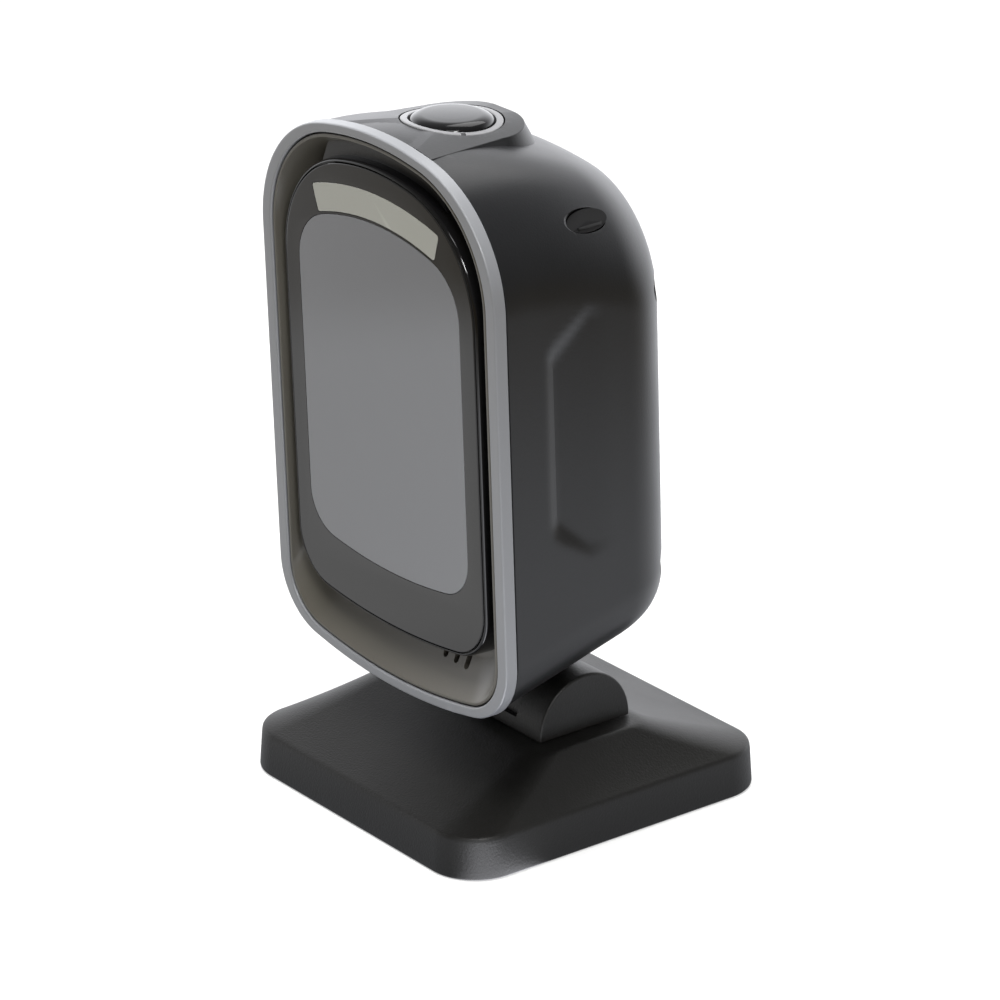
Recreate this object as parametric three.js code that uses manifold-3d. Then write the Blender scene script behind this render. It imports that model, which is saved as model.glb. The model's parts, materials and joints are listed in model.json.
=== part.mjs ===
// Upright presentation barcode scanner: a tall scanning head that tilts on a square weighted stand.
// Millimetres, +Z up. The window faces -Y. The origin is the centre of the stand's footprint, at table height.
//
// The head is modelled in its own frame, whose origin is on the tilt axis, and then leans forward by headLean.
// Heights written as v are measured from windowMiddle, the height of the window's reference line in that frame.

import * as THREE from 'three';
import { mergeVertices } from 'three/addons/utils/BufferGeometryUtils.js';
import Module from 'manifold-3d';

const wasm = await Module();
wasm.setup();

// ---------------------------------------------------------------- driving dimensions

const clearance = 0.3;             // gap kept between neighbouring pieces
const wall = 2.2;                  // moulded wall thickness

const baseWidth = 82;
const baseDepth = 84.7;
const baseCornerRadius = 11.4;
const baseRimHeight = 9.7;
const baseFloorGap = 0.15;         // the rim's bottom edge above the table
const plateauHeight = 18.5;
const plateauHalfWidth = 29.5;
const plateauHalfDepth = 15;
const plateauCentreY = 1.5;

const hingeY = 2.7;
const hingeZ = 19.1;
const drumRadius = 12.3;
const drumHalfWidth = 24.6;
const slotHalfWidth = 15.9;        // opening between the drum's two cheeks
const sillAngle = 12;              // degrees of drum left standing below the opening
const shaftRadius = 2.5;
const floorSlope = Math.atan(0.232);  // the housing's floor rises towards the rear
const flangeHeight = 23.2;         // the neck's flange above the tilt axis

const headLean = THREE.MathUtils.degToRad(2.2);
const windowMiddle = 61.8;
const ringFrontY = -32.7;
const ringDepth = 2.9;
const housingFrontY = -29.5;
const housingRoundY = 2;           // where the sides start to turn in towards the rear wall
const housingRoundDepth = 18.9;
const housingCrown = 1.5;          // how far the rear wall bulges in its middle

const ringOuter = {
  halfWidth: 40.3, top: 74.3, bottom: -50.7, topArc: 82, topCorner: 28, bottomArc: 137, bottomCorner: 15.2,
};
const ringInner = {
  halfWidth: 37.1, top: 72.2, bottom: -48.4, topArc: 80, topCorner: 26.5, bottomArc: 135, bottomCorner: 12.8,
};
const panelOutline = {
  halfWidth: 32.4, top: 66, bottom: -36.2, topArc: 60, topCorner: 25, bottomArc: 150, bottomCorner: 11.5,
};
const windowOutline = {
  halfWidth: 27.8, top: 54.6, bottom: -23.8, topArc: 66, topCorner: 12.5, bottomArc: 120, bottomCorner: 9.6,
};
const panelFaceY = -32.25;
const panelThickness = 1.3;

const stripInnerRadius = 66;       // the light strip follows the window's top edge
const stripGap = 0.4;
const stripHeight = 6.4;
const stripHalfLength = 19.9;

const podCentreY = -16.7;
const podTopZ = 134.3;
const podHalfWidth = 13.4;
const podRear = 13.1;              // from the button's centre to the pod's rear edge
const podCorner = 10.2;
const podTaper = 0.13;             // the pod's sides widen towards the front
const podFlare = 0.61;             // how far its sides spread for each millimetre down
const podCrownRadius = 70;         // its top is gently arched from side to side
const podFall = Math.atan(0.038);  // and falls slightly towards the rear
const buttonHoleRadius = 11.05;
const buttonRadius = 8.85;
const buttonRise = 0.95;

const screwWells = [
  { x: 33.2, z: 38 }, { x: -33.2, z: 38 }, { x: 33.2, z: 100 }, { x: -33.2, z: 100 },
];

// ---------------------------------------------------------------- materials

const finish = (color, roughness, metalness = 0) => () =>
  new THREE.MeshStandardMaterial({ color, roughness, metalness });
const housingPlastic = finish(0x3a3b3e, 0.55);
const standPlastic = finish(0x2d2c28, 0.6);
const ringPlastic = finish(0x8c8e90, 0.4);
const glossBlack = finish(0x0b0b0c, 0.12);
const windowTint = finish(0x7a7c7f, 0.1);
const diffuser = finish(0x9b9d96, 0.3);
const blackPlastic = finish(0x17171a, 0.5);
const rubber = finish(0x141414, 0.9);
const steel = finish(0xb4b6b8, 0.3, 1);
const circuitGreen = finish(0x1c4d33, 0.5);
const brass = finish(0xc2a04e, 0.35, 1);
const clearOptic = finish(0xdfe6ea, 0.05);
const nylon = finish(0xe4e1d6, 0.5);

// ---------------------------------------------------------------- geometry helpers

// Turns a geometry inside out if its faces point inwards.
function faceOutwards(geometry) {
  const p = geometry.attributes.position;
  const index = geometry.index.array;
  const [a, b, c] = [new THREE.Vector3(), new THREE.Vector3(), new THREE.Vector3()];
  let volume = 0;
  for (let i = 0; i < index.length; i += 3) {
    a.fromBufferAttribute(p, index[i]);
    b.fromBufferAttribute(p, index[i + 1]);
    c.fromBufferAttribute(p, index[i + 2]);
    volume += a.dot(b.cross(c));
  }
  if (volume < 0) {
    for (let i = 0; i < index.length; i += 3) {
      [index[i + 1], index[i + 2]] = [index[i + 2], index[i + 1]];
    }
  }
  return geometry;
}

// Joins rings of points, each with the same number of points, into a closed skin.
// An open row of rings gets a flat fan over each end; a closed row meets its own start.
function skin(rings, closed = false) {
  const count = rings[0].length;
  const points = rings.flat();
  const faces = [];
  const rows = closed ? rings.length : rings.length - 1;
  for (let i = 0; i < rows; i += 1) {
    const here = i * count;
    const next = ((i + 1) % rings.length) * count;
    for (let j = 0; j < count; j += 1) {
      const k = (j + 1) % count;
      faces.push(here + j, next + j, next + k, here + j, next + k, here + k);
    }
  }
  if (!closed) {
    for (const [ring, flip] of [[0, false], [rings.length - 1, true]]) {
      const middle = points.length;
      const sum = rings[ring].reduce((s, p) => s.add(p), new THREE.Vector3());
      points.push(sum.divideScalar(count));
      for (let j = 0; j < count; j += 1) {
        const here = ring * count + j;
        const next = ring * count + (j + 1) % count;
        faces.push(middle, flip ? next : here, flip ? here : next);
      }
    }
  }
  const geometry = new THREE.BufferGeometry().setFromPoints(points);
  geometry.setIndex(faces);
  return faceOutwards(geometry);
}

function welded(geometry) {
  const bare = geometry.clone();
  bare.deleteAttribute('normal');
  bare.deleteAttribute('uv');
  return faceOutwards(mergeVertices(bare, 1e-4));
}

function solid(geometry) {
  const shape = welded(geometry);
  return new wasm.Manifold(new wasm.Mesh({
    numProp: 3,
    vertProperties: new Float32Array(shape.attributes.position.array),
    triVerts: new Uint32Array(shape.index.array),
  }));
}

function fromSolid(manifold) {
  const mesh = manifold.getMesh();
  const geometry = new THREE.BufferGeometry();
  geometry.setAttribute('position', new THREE.BufferAttribute(mesh.vertProperties, 3));
  geometry.setIndex(new THREE.BufferAttribute(mesh.triVerts, 1));
  return geometry;
}

const cut = (body, ...tools) =>
  fromSolid(tools.reduce((rest, tool) => rest.subtract(solid(tool)), solid(body)));
const join = (...bodies) =>
  fromSolid(bodies.slice(1).reduce((sum, body) => sum.add(solid(body)), solid(bodies[0])));
const overlap = (a, b) => fromSolid(solid(a).intersect(solid(b)));

function box(x0, x1, y0, y1, z0, z1) {
  const geometry = new THREE.BoxGeometry(x1 - x0, y1 - y0, z1 - z0);
  return geometry.translate((x0 + x1) / 2, (y0 + y1) / 2, (z0 + z1) / 2);
}

// Turns a profile of [radius, height] pairs about the Z axis. It starts and ends on the axis or closes on itself.
function turned(profile, segments = 16) {
  const points = profile.map(([r, z]) => new THREE.Vector2(r, z));
  return welded(new THREE.LatheGeometry(points, segments).rotateX(Math.PI / 2));
}

const rod = (radius, z0, z1, segments = 16) =>
  turned([[0, z0], [radius, z0], [radius, z1], [0, z1]], segments);
const tube = (inner, outer, z0, z1, segments = 16) =>
  turned([[inner, z0], [outer, z0], [outer, z1], [inner, z1], [inner, z0]], segments);
const alongX = (geometry) => geometry.rotateY(Math.PI / 2);
const alongY = (geometry) => geometry.rotateX(-Math.PI / 2);

function meshPiece(name, geometry, material) {
  const mesh = new THREE.Mesh(geometry, material());
  mesh.name = name;
  return mesh;
}

// A screw whose head's seat is at height 0 and whose shank runs down from it.
const screwShape = (headRadius, headHeight, shankRadius, length) => turned([
  [0, -length], [shankRadius * 0.5, -length], [shankRadius, -length + shankRadius],
  [shankRadius, 0], [headRadius, 0], [headRadius * 0.85, headHeight], [0, headHeight],
], 10);

// ---------------------------------------------------------------- outlines

// The head's outline seen from the front, as [x, v] points: a shallow top arc, an upper corner, a straight side,
// a lower corner and a shallow bottom arc, each tangent to the next, then the same on the other side.
function headOutline({ halfWidth, top, bottom, topArc, topCorner, bottomArc, bottomCorner }) {
  const arc = (cx, cy, radius, from, to, steps) =>
    Array.from({ length: steps }, (_, i) => {
      const angle = from + (to - from) * i / steps;
      return [cx + radius * Math.sin(angle), cy + radius * Math.cos(angle)];
    });
  const topX = halfWidth - topCorner;
  const topCentre = top - topArc;
  const topCornerV = topCentre + Math.sqrt((topArc - topCorner) ** 2 - topX ** 2);
  const topTurn = Math.atan2(topX, topCornerV - topCentre);
  const bottomX = halfWidth - bottomCorner;
  const bottomCentre = bottom + bottomArc;
  const bottomCornerV = bottomCentre - Math.sqrt((bottomArc - bottomCorner) ** 2 - bottomX ** 2);
  const bottomTurn = Math.PI - Math.atan2(bottomX, bottomCentre - bottomCornerV);
  const right = [
    ...arc(0, topCentre, topArc, 0, topTurn, 3),
    ...arc(topX, topCornerV, topCorner, topTurn, Math.PI / 2, 7),
    ...arc(bottomX, bottomCornerV, bottomCorner, Math.PI / 2, bottomTurn, 6),
    ...arc(0, bottomCentre, bottomArc, bottomTurn, Math.PI, 3),
    [0, bottom],
  ];
  const left = right.slice(1, -1).reverse().map(([x, v]) => [-x, v]);
  return [...right, ...left];
}

const grow = (outline, by) => ({
  halfWidth: outline.halfWidth + by,
  top: outline.top + by,
  bottom: outline.bottom - by,
  topArc: outline.topArc + by,
  topCorner: outline.topCorner + by,
  bottomArc: outline.bottomArc + by,
  bottomCorner: outline.bottomCorner + by,
});

// A head outline standing at depth y.
const headRing = (outline, y) =>
  headOutline(outline).map(([x, v]) => new THREE.Vector3(x, y, windowMiddle + v));

function roundedRectangle(halfX, halfY, radius, centreY, z, steps = 5) {
  const ring = [];
  for (let corner = 0; corner < 4; corner += 1) {
    const sx = corner === 0 || corner === 3 ? 1 : -1;
    const sy = corner < 2 ? 1 : -1;
    for (let i = 0; i <= steps; i += 1) {
      const angle = (corner + i / steps) * Math.PI / 2;
      ring.push(new THREE.Vector3(
        sx * (halfX - radius) + radius * Math.cos(angle),
        centreY + sy * (halfY - radius) + radius * Math.sin(angle),
        z,
      ));
    }
  }
  return ring;
}

// ---------------------------------------------------------------- stand

// Outline of the stand at one step of its slope: share 0 is the rim's top edge and 1 is the plateau.
function standRing(share, height, inset) {
  const mix = (rim, plateau) => rim + (plateau - rim) * share - inset;
  const rimInset = 0.9;
  return roundedRectangle(
    mix(baseWidth / 2 - rimInset, plateauHalfWidth),
    mix(baseDepth / 2 - rimInset, plateauHalfDepth),
    Math.max(mix(baseCornerRadius - rimInset, 5.5), 1),
    plateauCentreY * share,
    height,
  );
}

// The stand's outside at inset 0; its hollow at an inset of one wall.
function standSolid(inset, bottom) {
  const slope = plateauHeight - baseRimHeight;
  const sag = 0.5;                 // the slope is slightly hollow
  const rings = [
    roundedRectangle(baseWidth / 2 - inset, baseDepth / 2 - inset, baseCornerRadius - inset, 0, bottom),
    standRing(0, baseRimHeight - 0.6 - inset, inset - 0.25),
    standRing(0.03, baseRimHeight - inset, inset),
  ];
  for (const share of [0.3, 0.6, 0.9]) {
    const dip = sag * 4 * share * (1 - share);
    rings.push(standRing(share, baseRimHeight + slope * share - dip - inset, inset));
  }
  rings.push(standRing(0.97, plateauHeight - 0.3 - inset, inset));
  rings.push(standRing(1.03, plateauHeight - inset, inset));
  return skin(rings);
}

const bossPlaces = [[31, 31], [-31, 31], [31, -31], [-31, -31]];
const retainerX = 20.2;
const retainerScrewPlaces = [[retainerX, 7], [-retainerX, 7]];

function baseCover() {
  const bosses = bossPlaces.map(([x, y]) => rod(3.4, 3.4, 10.9, 12).translate(x, y, 0));
  const bossHoles = bossPlaces.map(([x, y]) => rod(1.8, 2, 9, 8).translate(x, y, 0));
  const neckOpening = box(-16.4, 16.4, hingeY - 11.2, hingeY + 11.2, 10, 20);
  const shaftOpening = box(-23.9, 23.9, hingeY - 2.9, hingeY + 2.9, 10, 20);
  const screwHoles = retainerScrewPlaces.flatMap(([x, y]) =>
    [y, -y].map((offset) => rod(1.8, 10, 20, 8).translate(x, hingeY + offset, 0)));
  const shell = cut(standSolid(0, baseFloorGap), standSolid(wall, -1));
  return cut(join(shell, ...bosses), ...bossHoles, neckOpening, shaftOpening, ...screwHoles);
}

const plateBottom = 1.2;
const plateTop = 2.8;

function baseBottomPlate() {
  const inset = wall + 3 * clearance;  // the rim's inside leans in slightly
  const outline = (z) =>
    roundedRectangle(baseWidth / 2 - inset, baseDepth / 2 - inset, baseCornerRadius - inset, 0, z);
  const holes = bossPlaces.map(([x, y]) => rod(1.8, 0, 5, 8).translate(x, y, 0));
  const headSeats = bossPlaces.map(([x, y]) => rod(3.1, 0, plateBottom + 0.8, 12).translate(x, y, 0));
  return cut(skin([outline(plateBottom), outline(plateTop)]), ...holes, ...headSeats);
}

function ballastPlate() {
  const outline = (z) => roundedRectangle(26, 30, 4, 0, z, 3);
  return skin([outline(plateTop + clearance), outline(9.2)]);
}

function foot() {
  return turned([[0, 0], [4.7, 0], [5, 0.3], [5, 0.9], [0, 0.9]]);
}

// ---------------------------------------------------------------- hinge

// A wedge of a disc about the X axis, from angle a to angle b in degrees above +Y, between two radii.
function sector(inner, outer, a, b, halfWidth, steps = 20) {
  const arc = (radius, from, to) => Array.from({ length: steps + 1 }, (_, i) => {
    const angle = THREE.MathUtils.degToRad(from + (to - from) * i / steps);
    return new THREE.Vector2(radius * Math.cos(angle), radius * Math.sin(angle));
  });
  const shape = new THREE.Shape([...arc(outer, a, b), ...arc(inner, b, a)]);
  const slab = new THREE.ExtrudeGeometry(shape, { depth: 2 * halfWidth, bevelEnabled: false });
  slab.translate(0, 0, -halfWidth);
  slab.rotateY(Math.PI / 2).rotateX(Math.PI / 2);
  return welded(slab);
}

function hingeDrum() {
  const skirt = clearance;         // how far the drum's flat foot is below the tilt axis
  const arc = Array.from({ length: 25 }, (_, i) => {
    const angle = Math.PI * i / 24;
    return new THREE.Vector2(drumRadius * Math.cos(angle), drumRadius * Math.sin(angle));
  });
  const outline = [...arc, new THREE.Vector2(-drumRadius, -skirt), new THREE.Vector2(drumRadius, -skirt)];
  const slab = new THREE.ExtrudeGeometry(
    new THREE.Shape(outline),
    { depth: 2 * drumHalfWidth, bevelEnabled: false },
  );
  slab.translate(0, 0, -drumHalfWidth).rotateY(Math.PI / 2).rotateX(Math.PI / 2);
  const slot = sector(0.01, drumRadius + 2, sillAngle, 180 - sillAngle, slotHalfWidth);
  const core = alongX(rod(drumRadius - 1.4, -slotHalfWidth, slotHalfWidth, 32));
  const shaftSeat = alongX(rod(shaftRadius + clearance, -23.6, 23.6));
  const shaftChannel = box(-23.6, 23.6, -shaftRadius - clearance, shaftRadius + clearance, -3, 0);
  const screwHoles = retainerScrewPlaces.map(([x, y]) => rod(1.8, -3, 6, 8).translate(x, y, 0));
  return cut(slab, slot, core, shaftSeat, shaftChannel, ...screwHoles);
}

// A plate under the plateau that closes the drum's shaft seat. One screw and one upright peg hold it.
function shaftRetainer() {
  const top = plateauHeight - wall - clearance - hingeZ;
  const plate = join(box(-3.8, 3.8, -10, 10, top - 2.4, top), rod(1.4, top - 1, top + 2, 12).translate(0, -7, 0));
  return cut(plate, rod(1.8, -10, 2, 8).translate(0, 7, 0));
}

// The neck turns on the shaft. Its curved shield closes the drum's opening at every tilt, and its tongue
// carries the head.
function neck() {
  const hub = alongX(rod(6, -12.5, 12.5));
  const shield = sector(9, drumRadius - 1.7, -8, 188, slotHalfWidth - clearance, 22);
  const web = sector(5, 9.5, 35, 145, 12, 8);
  const tongue = box(-12, 12, -6.5, 7.5, 9.5, flangeHeight + 1);
  const flange = box(-19, 19, -12, 12, -0.9, 1.1);
  flange.rotateX(floorSlope).translate(0, 0, flangeHeight);
  const bore = alongX(rod(3.9, -14, 14));
  const screwHoles = neckScrews().map(({ x, y, z }) =>
    rod(1.5, -4, 4, 8).rotateX(floorSlope).translate(x, y, z));
  return cut(join(hub, shield, web, tongue, flange), bore, ...screwHoles);
}

// Screws that hold the head on the neck's flange, from below.
function neckScrews() {
  return [[15.6, 0.5], [-15.6, 0.5]].map(([x, y]) => ({ x, y, z: flangeHeight + y * Math.tan(floorSlope) }));
}

// ---------------------------------------------------------------- housing

// The housing's outline at depth y. turn goes from 0 to a quarter turn as the sides close in to the rear wall.
function housingOutline(y, turn, inset) {
  const run = y - housingFrontY;
  const closing = 1 - Math.cos(turn);
  return grow({
    halfWidth: 40.2 - 25.1 * closing,
    top: 73.9 - 0.0065 * run - 0.006 * run * run - 4.2 * closing,
    bottom: -50.3 + Math.tan(floorSlope) * run + 0.5 * closing,
    topArc: 82,
    topCorner: 28 - 11.9 * closing,
    bottomArc: 137,
    bottomCorner: 15.5 - 4 * closing,
  }, -inset);
}

function housingSolid(inset, frontY) {
  const rings = [];
  for (const y of [frontY, -22, -14, -6]) rings.push(headRing(housingOutline(y, 0, inset), y));
  for (const degrees of [0, 15, 30, 45, 60, 75, 90]) {
    const turn = THREE.MathUtils.degToRad(degrees);
    const y = housingRoundY + (housingRoundDepth - inset) * Math.sin(turn);
    rings.push(headRing(housingOutline(y, turn, inset), y));
  }
  const rear = rings[rings.length - 1];
  const middle = rear.reduce((sum, p) => sum.add(p), new THREE.Vector3()).divideScalar(rear.length);
  for (const share of [0.6, 0.1]) {
    rings.push(rear.map((p) => {
      const point = middle.clone().lerp(p, share);
      point.y += housingCrown * (1 - share * share);
      return point;
    }));
  }
  return skin(rings);
}

// A shallow six-sided grip recess with a sloping edge, deepest at the front. side is 1 for +X and -1 for -X.
function gripRecess(side) {
  const depth = 1;
  const edge = 2.7;                // width of the sloping edge in plan
  const ring = (out, x) => [
    [-17.2, 57.5], [-17.2, 94], [-8.2, 102.6], [24, 102.6], [24, 50.4], [-9.6, 50.4],
  ].map(([y, z]) => new THREE.Vector3(
    side * x,
    y - out * (y < -9 ? 1 : 0.5),
    z + out * (z > 76 ? 0.6 : -0.6),
  ));
  const outline = skin([ring(0, 40.2 - depth), ring(edge, 40.2), ring(edge * 1.5, 40.7)]);
  const rise = 0.055;              // the recess's floor meets the side wall towards the rear
  const aboveFloor = box(Math.min(0, side * 10), Math.max(0, side * 10), -60, 60, -20, 180)
    .rotateZ(-side * rise).translate(side * (40.2 - depth), -17.2, 0);
  return overlap(outline, aboveFloor);
}

// Places a piece made about Z on the head's shoulder, where its axis follows the surface's normal.
const shoulder = { x: 34.6, y: -3.55, z: 119.93, slant: 51 };
function onShoulder(geometry, side) {
  geometry.rotateY(side * THREE.MathUtils.degToRad(shoulder.slant));
  return geometry.translate(side * shoulder.x, shoulder.y, shoulder.z);
}

const ellipse = (across, along, z0, z1) => rod(1, z0, z1, 20).scale(across, along, 1);

const socket = { halfWidth: 7.2, low: 33, high: 45.2, front: 6.5, back: 20.6 };

function inPodFrame(geometry) {
  return geometry.rotateX(-headLean);
}

// Outline of the pod seen from above, in its upright frame, moved out by spread: a tongue with a round rear.
function podOutline(spread, z) {
  const cornerX = podHalfWidth - podCorner;
  const cornerY = podCentreY + podRear - podCorner;
  const steps = 6;
  const points = [];
  for (const side of [1, -1]) {
    for (let i = 0; i <= steps; i += 1) {
      const angle = (side > 0 ? i : steps - i) / steps * Math.PI / 2;
      points.push(new THREE.Vector3(
        side * (cornerX + (podCorner + spread) * Math.cos(angle)),
        cornerY + (podCorner + spread) * Math.sin(angle),
        z,
      ));
    }
  }
  const reach = 30;
  const frontX = podHalfWidth + podTaper * reach + spread;
  points.push(new THREE.Vector3(-frontX, cornerY - reach, z), new THREE.Vector3(frontX, cornerY - reach, z));
  return points;
}

// All the space below the pod's arched top, in its upright frame.
function underPodCrown() {
  const arch = alongY(rod(podCrownRadius, -40, 60, 96)).translate(0, 0, -podCrownRadius);
  return arch.rotateX(-podFall).translate(0, podCentreY, podTopZ);
}

// The boss that carries the button. The ring's back face is its front limit.
function pod() {
  const boss = skin([
    podOutline(podFlare * 9, podTopZ - 9),
    podOutline(-podFlare * 1.5, podTopZ + 1.5),
  ]);
  return overlap(inPodFrame(overlap(boss, underPodCrown())), box(-30, 30, housingFrontY, 20, 100, 150));
}

function housingShell() {
  const podPocket = inPodFrame(rod(12.4, podTopZ - 16, podTopZ - wall, 24).translate(0, podCentreY, 0));
  const buttonHole = inPodFrame(rod(buttonHoleRadius, podTopZ - 4, podTopZ + 2, 28).translate(0, podCentreY, 0));
  const outside = join(housingSolid(0, housingFrontY), pod());
  const wells = screwWells.map(({ x, z }) =>
    overlap(alongY(rod(4.3, -18, 30, 14)).translate(x, 0, z), outside));
  const wellBores = screwWells.map(({ x, z }) => alongY(rod(3.1, -14, 30, 14)).translate(x, 0, z));
  const shankHoles = screwWells.map(({ x, z }) => alongY(rod(1.7, -20, 0, 8)).translate(x, 0, z));
  const plugHoles = [1, -1].map((side) => onShoulder(ellipse(2.8, 5.35, -8, 5), side));
  const socketHole = box(
    -socket.halfWidth - clearance, socket.halfWidth + clearance, 12, 30,
    socket.low - clearance, socket.high + clearance,
  );
  const neckHole = box(-12.4, 12.4, -6.9, 7.9, 5, 40);
  const screwHoles = neckScrews().map(({ x, y, z }) =>
    rod(1.8, -8, 3, 8).rotateX(floorSlope).translate(x, y, z));
  const hollow = housingSolid(wall, housingFrontY - 2);
  const shell = cut(outside, hollow);
  return cut(
    join(shell, ...wells), podPocket, buttonHole, ...wellBores, ...shankHoles, ...plugHoles,
    gripRecess(1), gripRecess(-1), socketHole, neckHole, ...screwHoles,
  );
}

// ---------------------------------------------------------------- front of the head

function frontRing() {
  const back = ringFrontY + ringDepth;
  return skin([
    headRing(grow(ringOuter, -0.4), ringFrontY),
    headRing(ringOuter, ringFrontY + 0.4),
    headRing(grow(ringOuter, 0.1), back),
    headRing(grow(ringInner, 0.1), back),
    headRing(ringInner, ringFrontY + 0.5),
    headRing(grow(ringInner, 0.4), ringFrontY),
  ], true);
}

const plinthBase = {
  halfWidth: 33.7, top: 67.3, bottom: -37.6, topArc: 61, topCorner: 26, bottomArc: 151, bottomCorner: 12.6,
};
const opening = {
  halfWidth: 29.8, top: 63.3, bottom: -33.4, topArc: 57.4, topCorner: 22.4, bottomArc: 147, bottomCorner: 9,
};
const recessFloorY = -26.7;

// A funnel from the ring's inner edge back to the plinth, with a flange inside the housing.
function recessBezel() {
  const floorBack = recessFloorY + 1.6;
  const housingInside = (y) => headRing(housingOutline(y, 0, wall + clearance), y);
  const lip = grow(ringInner, -clearance);
  const funnel = skin([
    headRing(grow(lip, -0.7), ringFrontY + 0.4),
    headRing(grow(plinthBase, 0.6), recessFloorY),
    headRing(opening, recessFloorY),
    headRing(opening, floorBack),
    headRing(grow(plinthBase, 0.6), floorBack),
    housingInside(recessFloorY),
    housingInside(housingFrontY + clearance),
    headRing(lip, housingFrontY - 2 * clearance),
    headRing(lip, ringFrontY + 0.4),
  ], true);
  const slots = [12.7, 16.6, 20.5].map((x) => box(x - 0.8, x + 0.8, -35, -22, 21.3, 25));
  const bosses = screwWells.map(({ x, z }) =>
    alongY(rod(3.6, recessFloorY + 0.8, -18 - clearance, 12)).translate(x, 0, z));
  const pilots = screwWells.map(({ x, z }) => alongY(rod(1.7, floorBack, -10, 8)).translate(x, 0, z));
  return cut(join(funnel, ...bosses), ...pilots, ...slots);
}

const gasketSeatY = -29.7;         // the plinth's seat for the window panel's gasket

function windowPlinth() {
  return skin([
    headRing(plinthBase, recessFloorY - clearance),
    headRing(grow(plinthBase, -0.4), -31.4),
    headRing(grow(panelOutline, 0.7), -32),
    headRing(grow(panelOutline, clearance), -32),
    headRing(grow(panelOutline, clearance), gasketSeatY),
    headRing(opening, gasketSeatY),
    headRing(opening, recessFloorY - clearance),
  ], true);
}

function windowGasket() {
  const back = gasketSeatY - clearance;
  const front = panelFaceY + panelThickness + clearance;
  return skin([
    headRing(grow(panelOutline, -0.2), front),
    headRing(grow(panelOutline, -0.2), back),
    headRing(grow(opening, 0.2), back),
    headRing(grow(opening, 0.2), front),
  ], true);
}

// The light strip's outline: a band that follows the window's top edge, with ends square to it.
function stripPoints(inset) {
  const centre = windowOutline.top - stripInnerRadius;
  const inner = stripInnerRadius + stripGap + inset;
  const outer = stripInnerRadius + stripGap + stripHeight - inset;
  const reach = Math.asin(stripHalfLength / stripInnerRadius) - inset / stripInnerRadius;
  const band = (radius, from, to) => Array.from({ length: 9 }, (_, i) => {
    const angle = from + (to - from) * i / 8;
    return [radius * Math.sin(angle), centre + radius * Math.cos(angle)];
  });
  return [...band(outer, -reach, reach), ...band(inner, reach, -reach)];
}

// Extrudes an outline of [x, v] points from front to back.
function panelSlab(points, front, back) {
  const shape = new THREE.Shape(points.map(([x, v]) => new THREE.Vector2(x, v + windowMiddle)));
  const slab = new THREE.ExtrudeGeometry(shape, { depth: back - front, bevelEnabled: false });
  slab.rotateX(Math.PI / 2).translate(0, back, 0);
  return welded(slab);
}

const panelBackY = panelFaceY + panelThickness;

const windowMask = () => cut(
  panelSlab(headOutline(panelOutline), panelFaceY, panelBackY),
  panelSlab(headOutline(windowOutline), panelFaceY - 1, panelBackY + 1),
  panelSlab(stripPoints(0), panelFaceY - 1, panelBackY + 1),
);
const clearWindow = () => panelSlab(headOutline(grow(windowOutline, -0.15)), panelFaceY, panelBackY);
const lightStrip = () => panelSlab(stripPoints(0.15), panelFaceY, panelBackY);
const lightPipe = () => panelSlab(stripPoints(0.8), panelBackY + clearance, -27.2);

// ---------------------------------------------------------------- inside the head

const imagerV = 12;
const imagerZ = windowMiddle + imagerV;

function illuminationBoard() {
  const lensHole = alongY(rod(9, -30, 0, 20)).translate(0, 0, imagerZ);
  return cut(box(-24, 24, -19.8, -18.4, 44, 120), lensHole);
}

function lensBarrel() {
  const profile = [
    [5.2, -18.1], [8.6, -18.1], [8.6, -24], [7.4, -24.4], [7.4, -27.5], [5.2, -27.5], [5.2, -18.1],
  ];
  return alongY(turned(profile, 20)).translate(0, 0, imagerZ);
}

function cameraLens() {
  const profile = [[0, -23], [4.9, -23], [4.9, -25.6], [3.6, -26.4], [2, -26.9], [0, -27.1]];
  return alongY(turned(profile)).translate(0, 0, imagerZ);
}

function ledReflector() {
  const profile = [
    [2, -20.1], [3.4, -20.1], [6.4, -26.4], [5.8, -26.4], [2.6, -20.9], [2, -20.9], [2, -20.1],
  ];
  return alongY(turned(profile));
}

function ledDome() {
  return alongY(turned([[0, -20.1], [1.6, -20.1], [1.6, -21.4], [1.1, -22.4], [0, -22.8]], 16));
}

function speaker() {
  const profile = [[0, -20.4], [8, -20.4], [8, -23.4], [6.6, -23.9], [0, -23.9]];
  return alongY(turned(profile));
}

function cableSocket() {
  const { halfWidth, low, high, front, back } = socket;
  const body = box(-halfWidth, halfWidth, front, back, low, high);
  const mouth = box(-5.9, 5.9, front + 1.6, back + 1, low + 1.6, high - 2.6);
  const latchSlot = box(-2, 2, front + 5, back + 1, high - 3, high - 1.2);
  return cut(body, mouth, latchSlot);
}

function socketContacts() {
  const { front, low } = socket;
  const bar = box(-5, 5, front + 1.9, front + 3.4, low + 2, low + 5);
  const pins = Array.from({ length: 8 }, (_, i) => {
    const x = (i - 3.5) * 1.1;
    return box(x - 0.25, x + 0.25, front + 3, front + 6.3, low + 2.2, low + 2.8);
  });
  return join(bar, ...pins);
}

// A plug in the shoulder's oval hole, set back from the surface, with a wedge-shaped rib along its lower edge.
function shoulderPlug() {
  const body = ellipse(2.5, 5.05, -5, -0.9);
  const flange = ellipse(3.3, 5.9, -6, -4.8);
  const rib = skin([-3, 3].map((y) => [[0.9, -1.4], [1.15, -0.35], [2.1, -1.4]].map(([x, z]) =>
    new THREE.Vector3(x, y, z))));
  return join(body, flange, rib);
}

// ---------------------------------------------------------------- button, in the pod's upright frame

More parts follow.
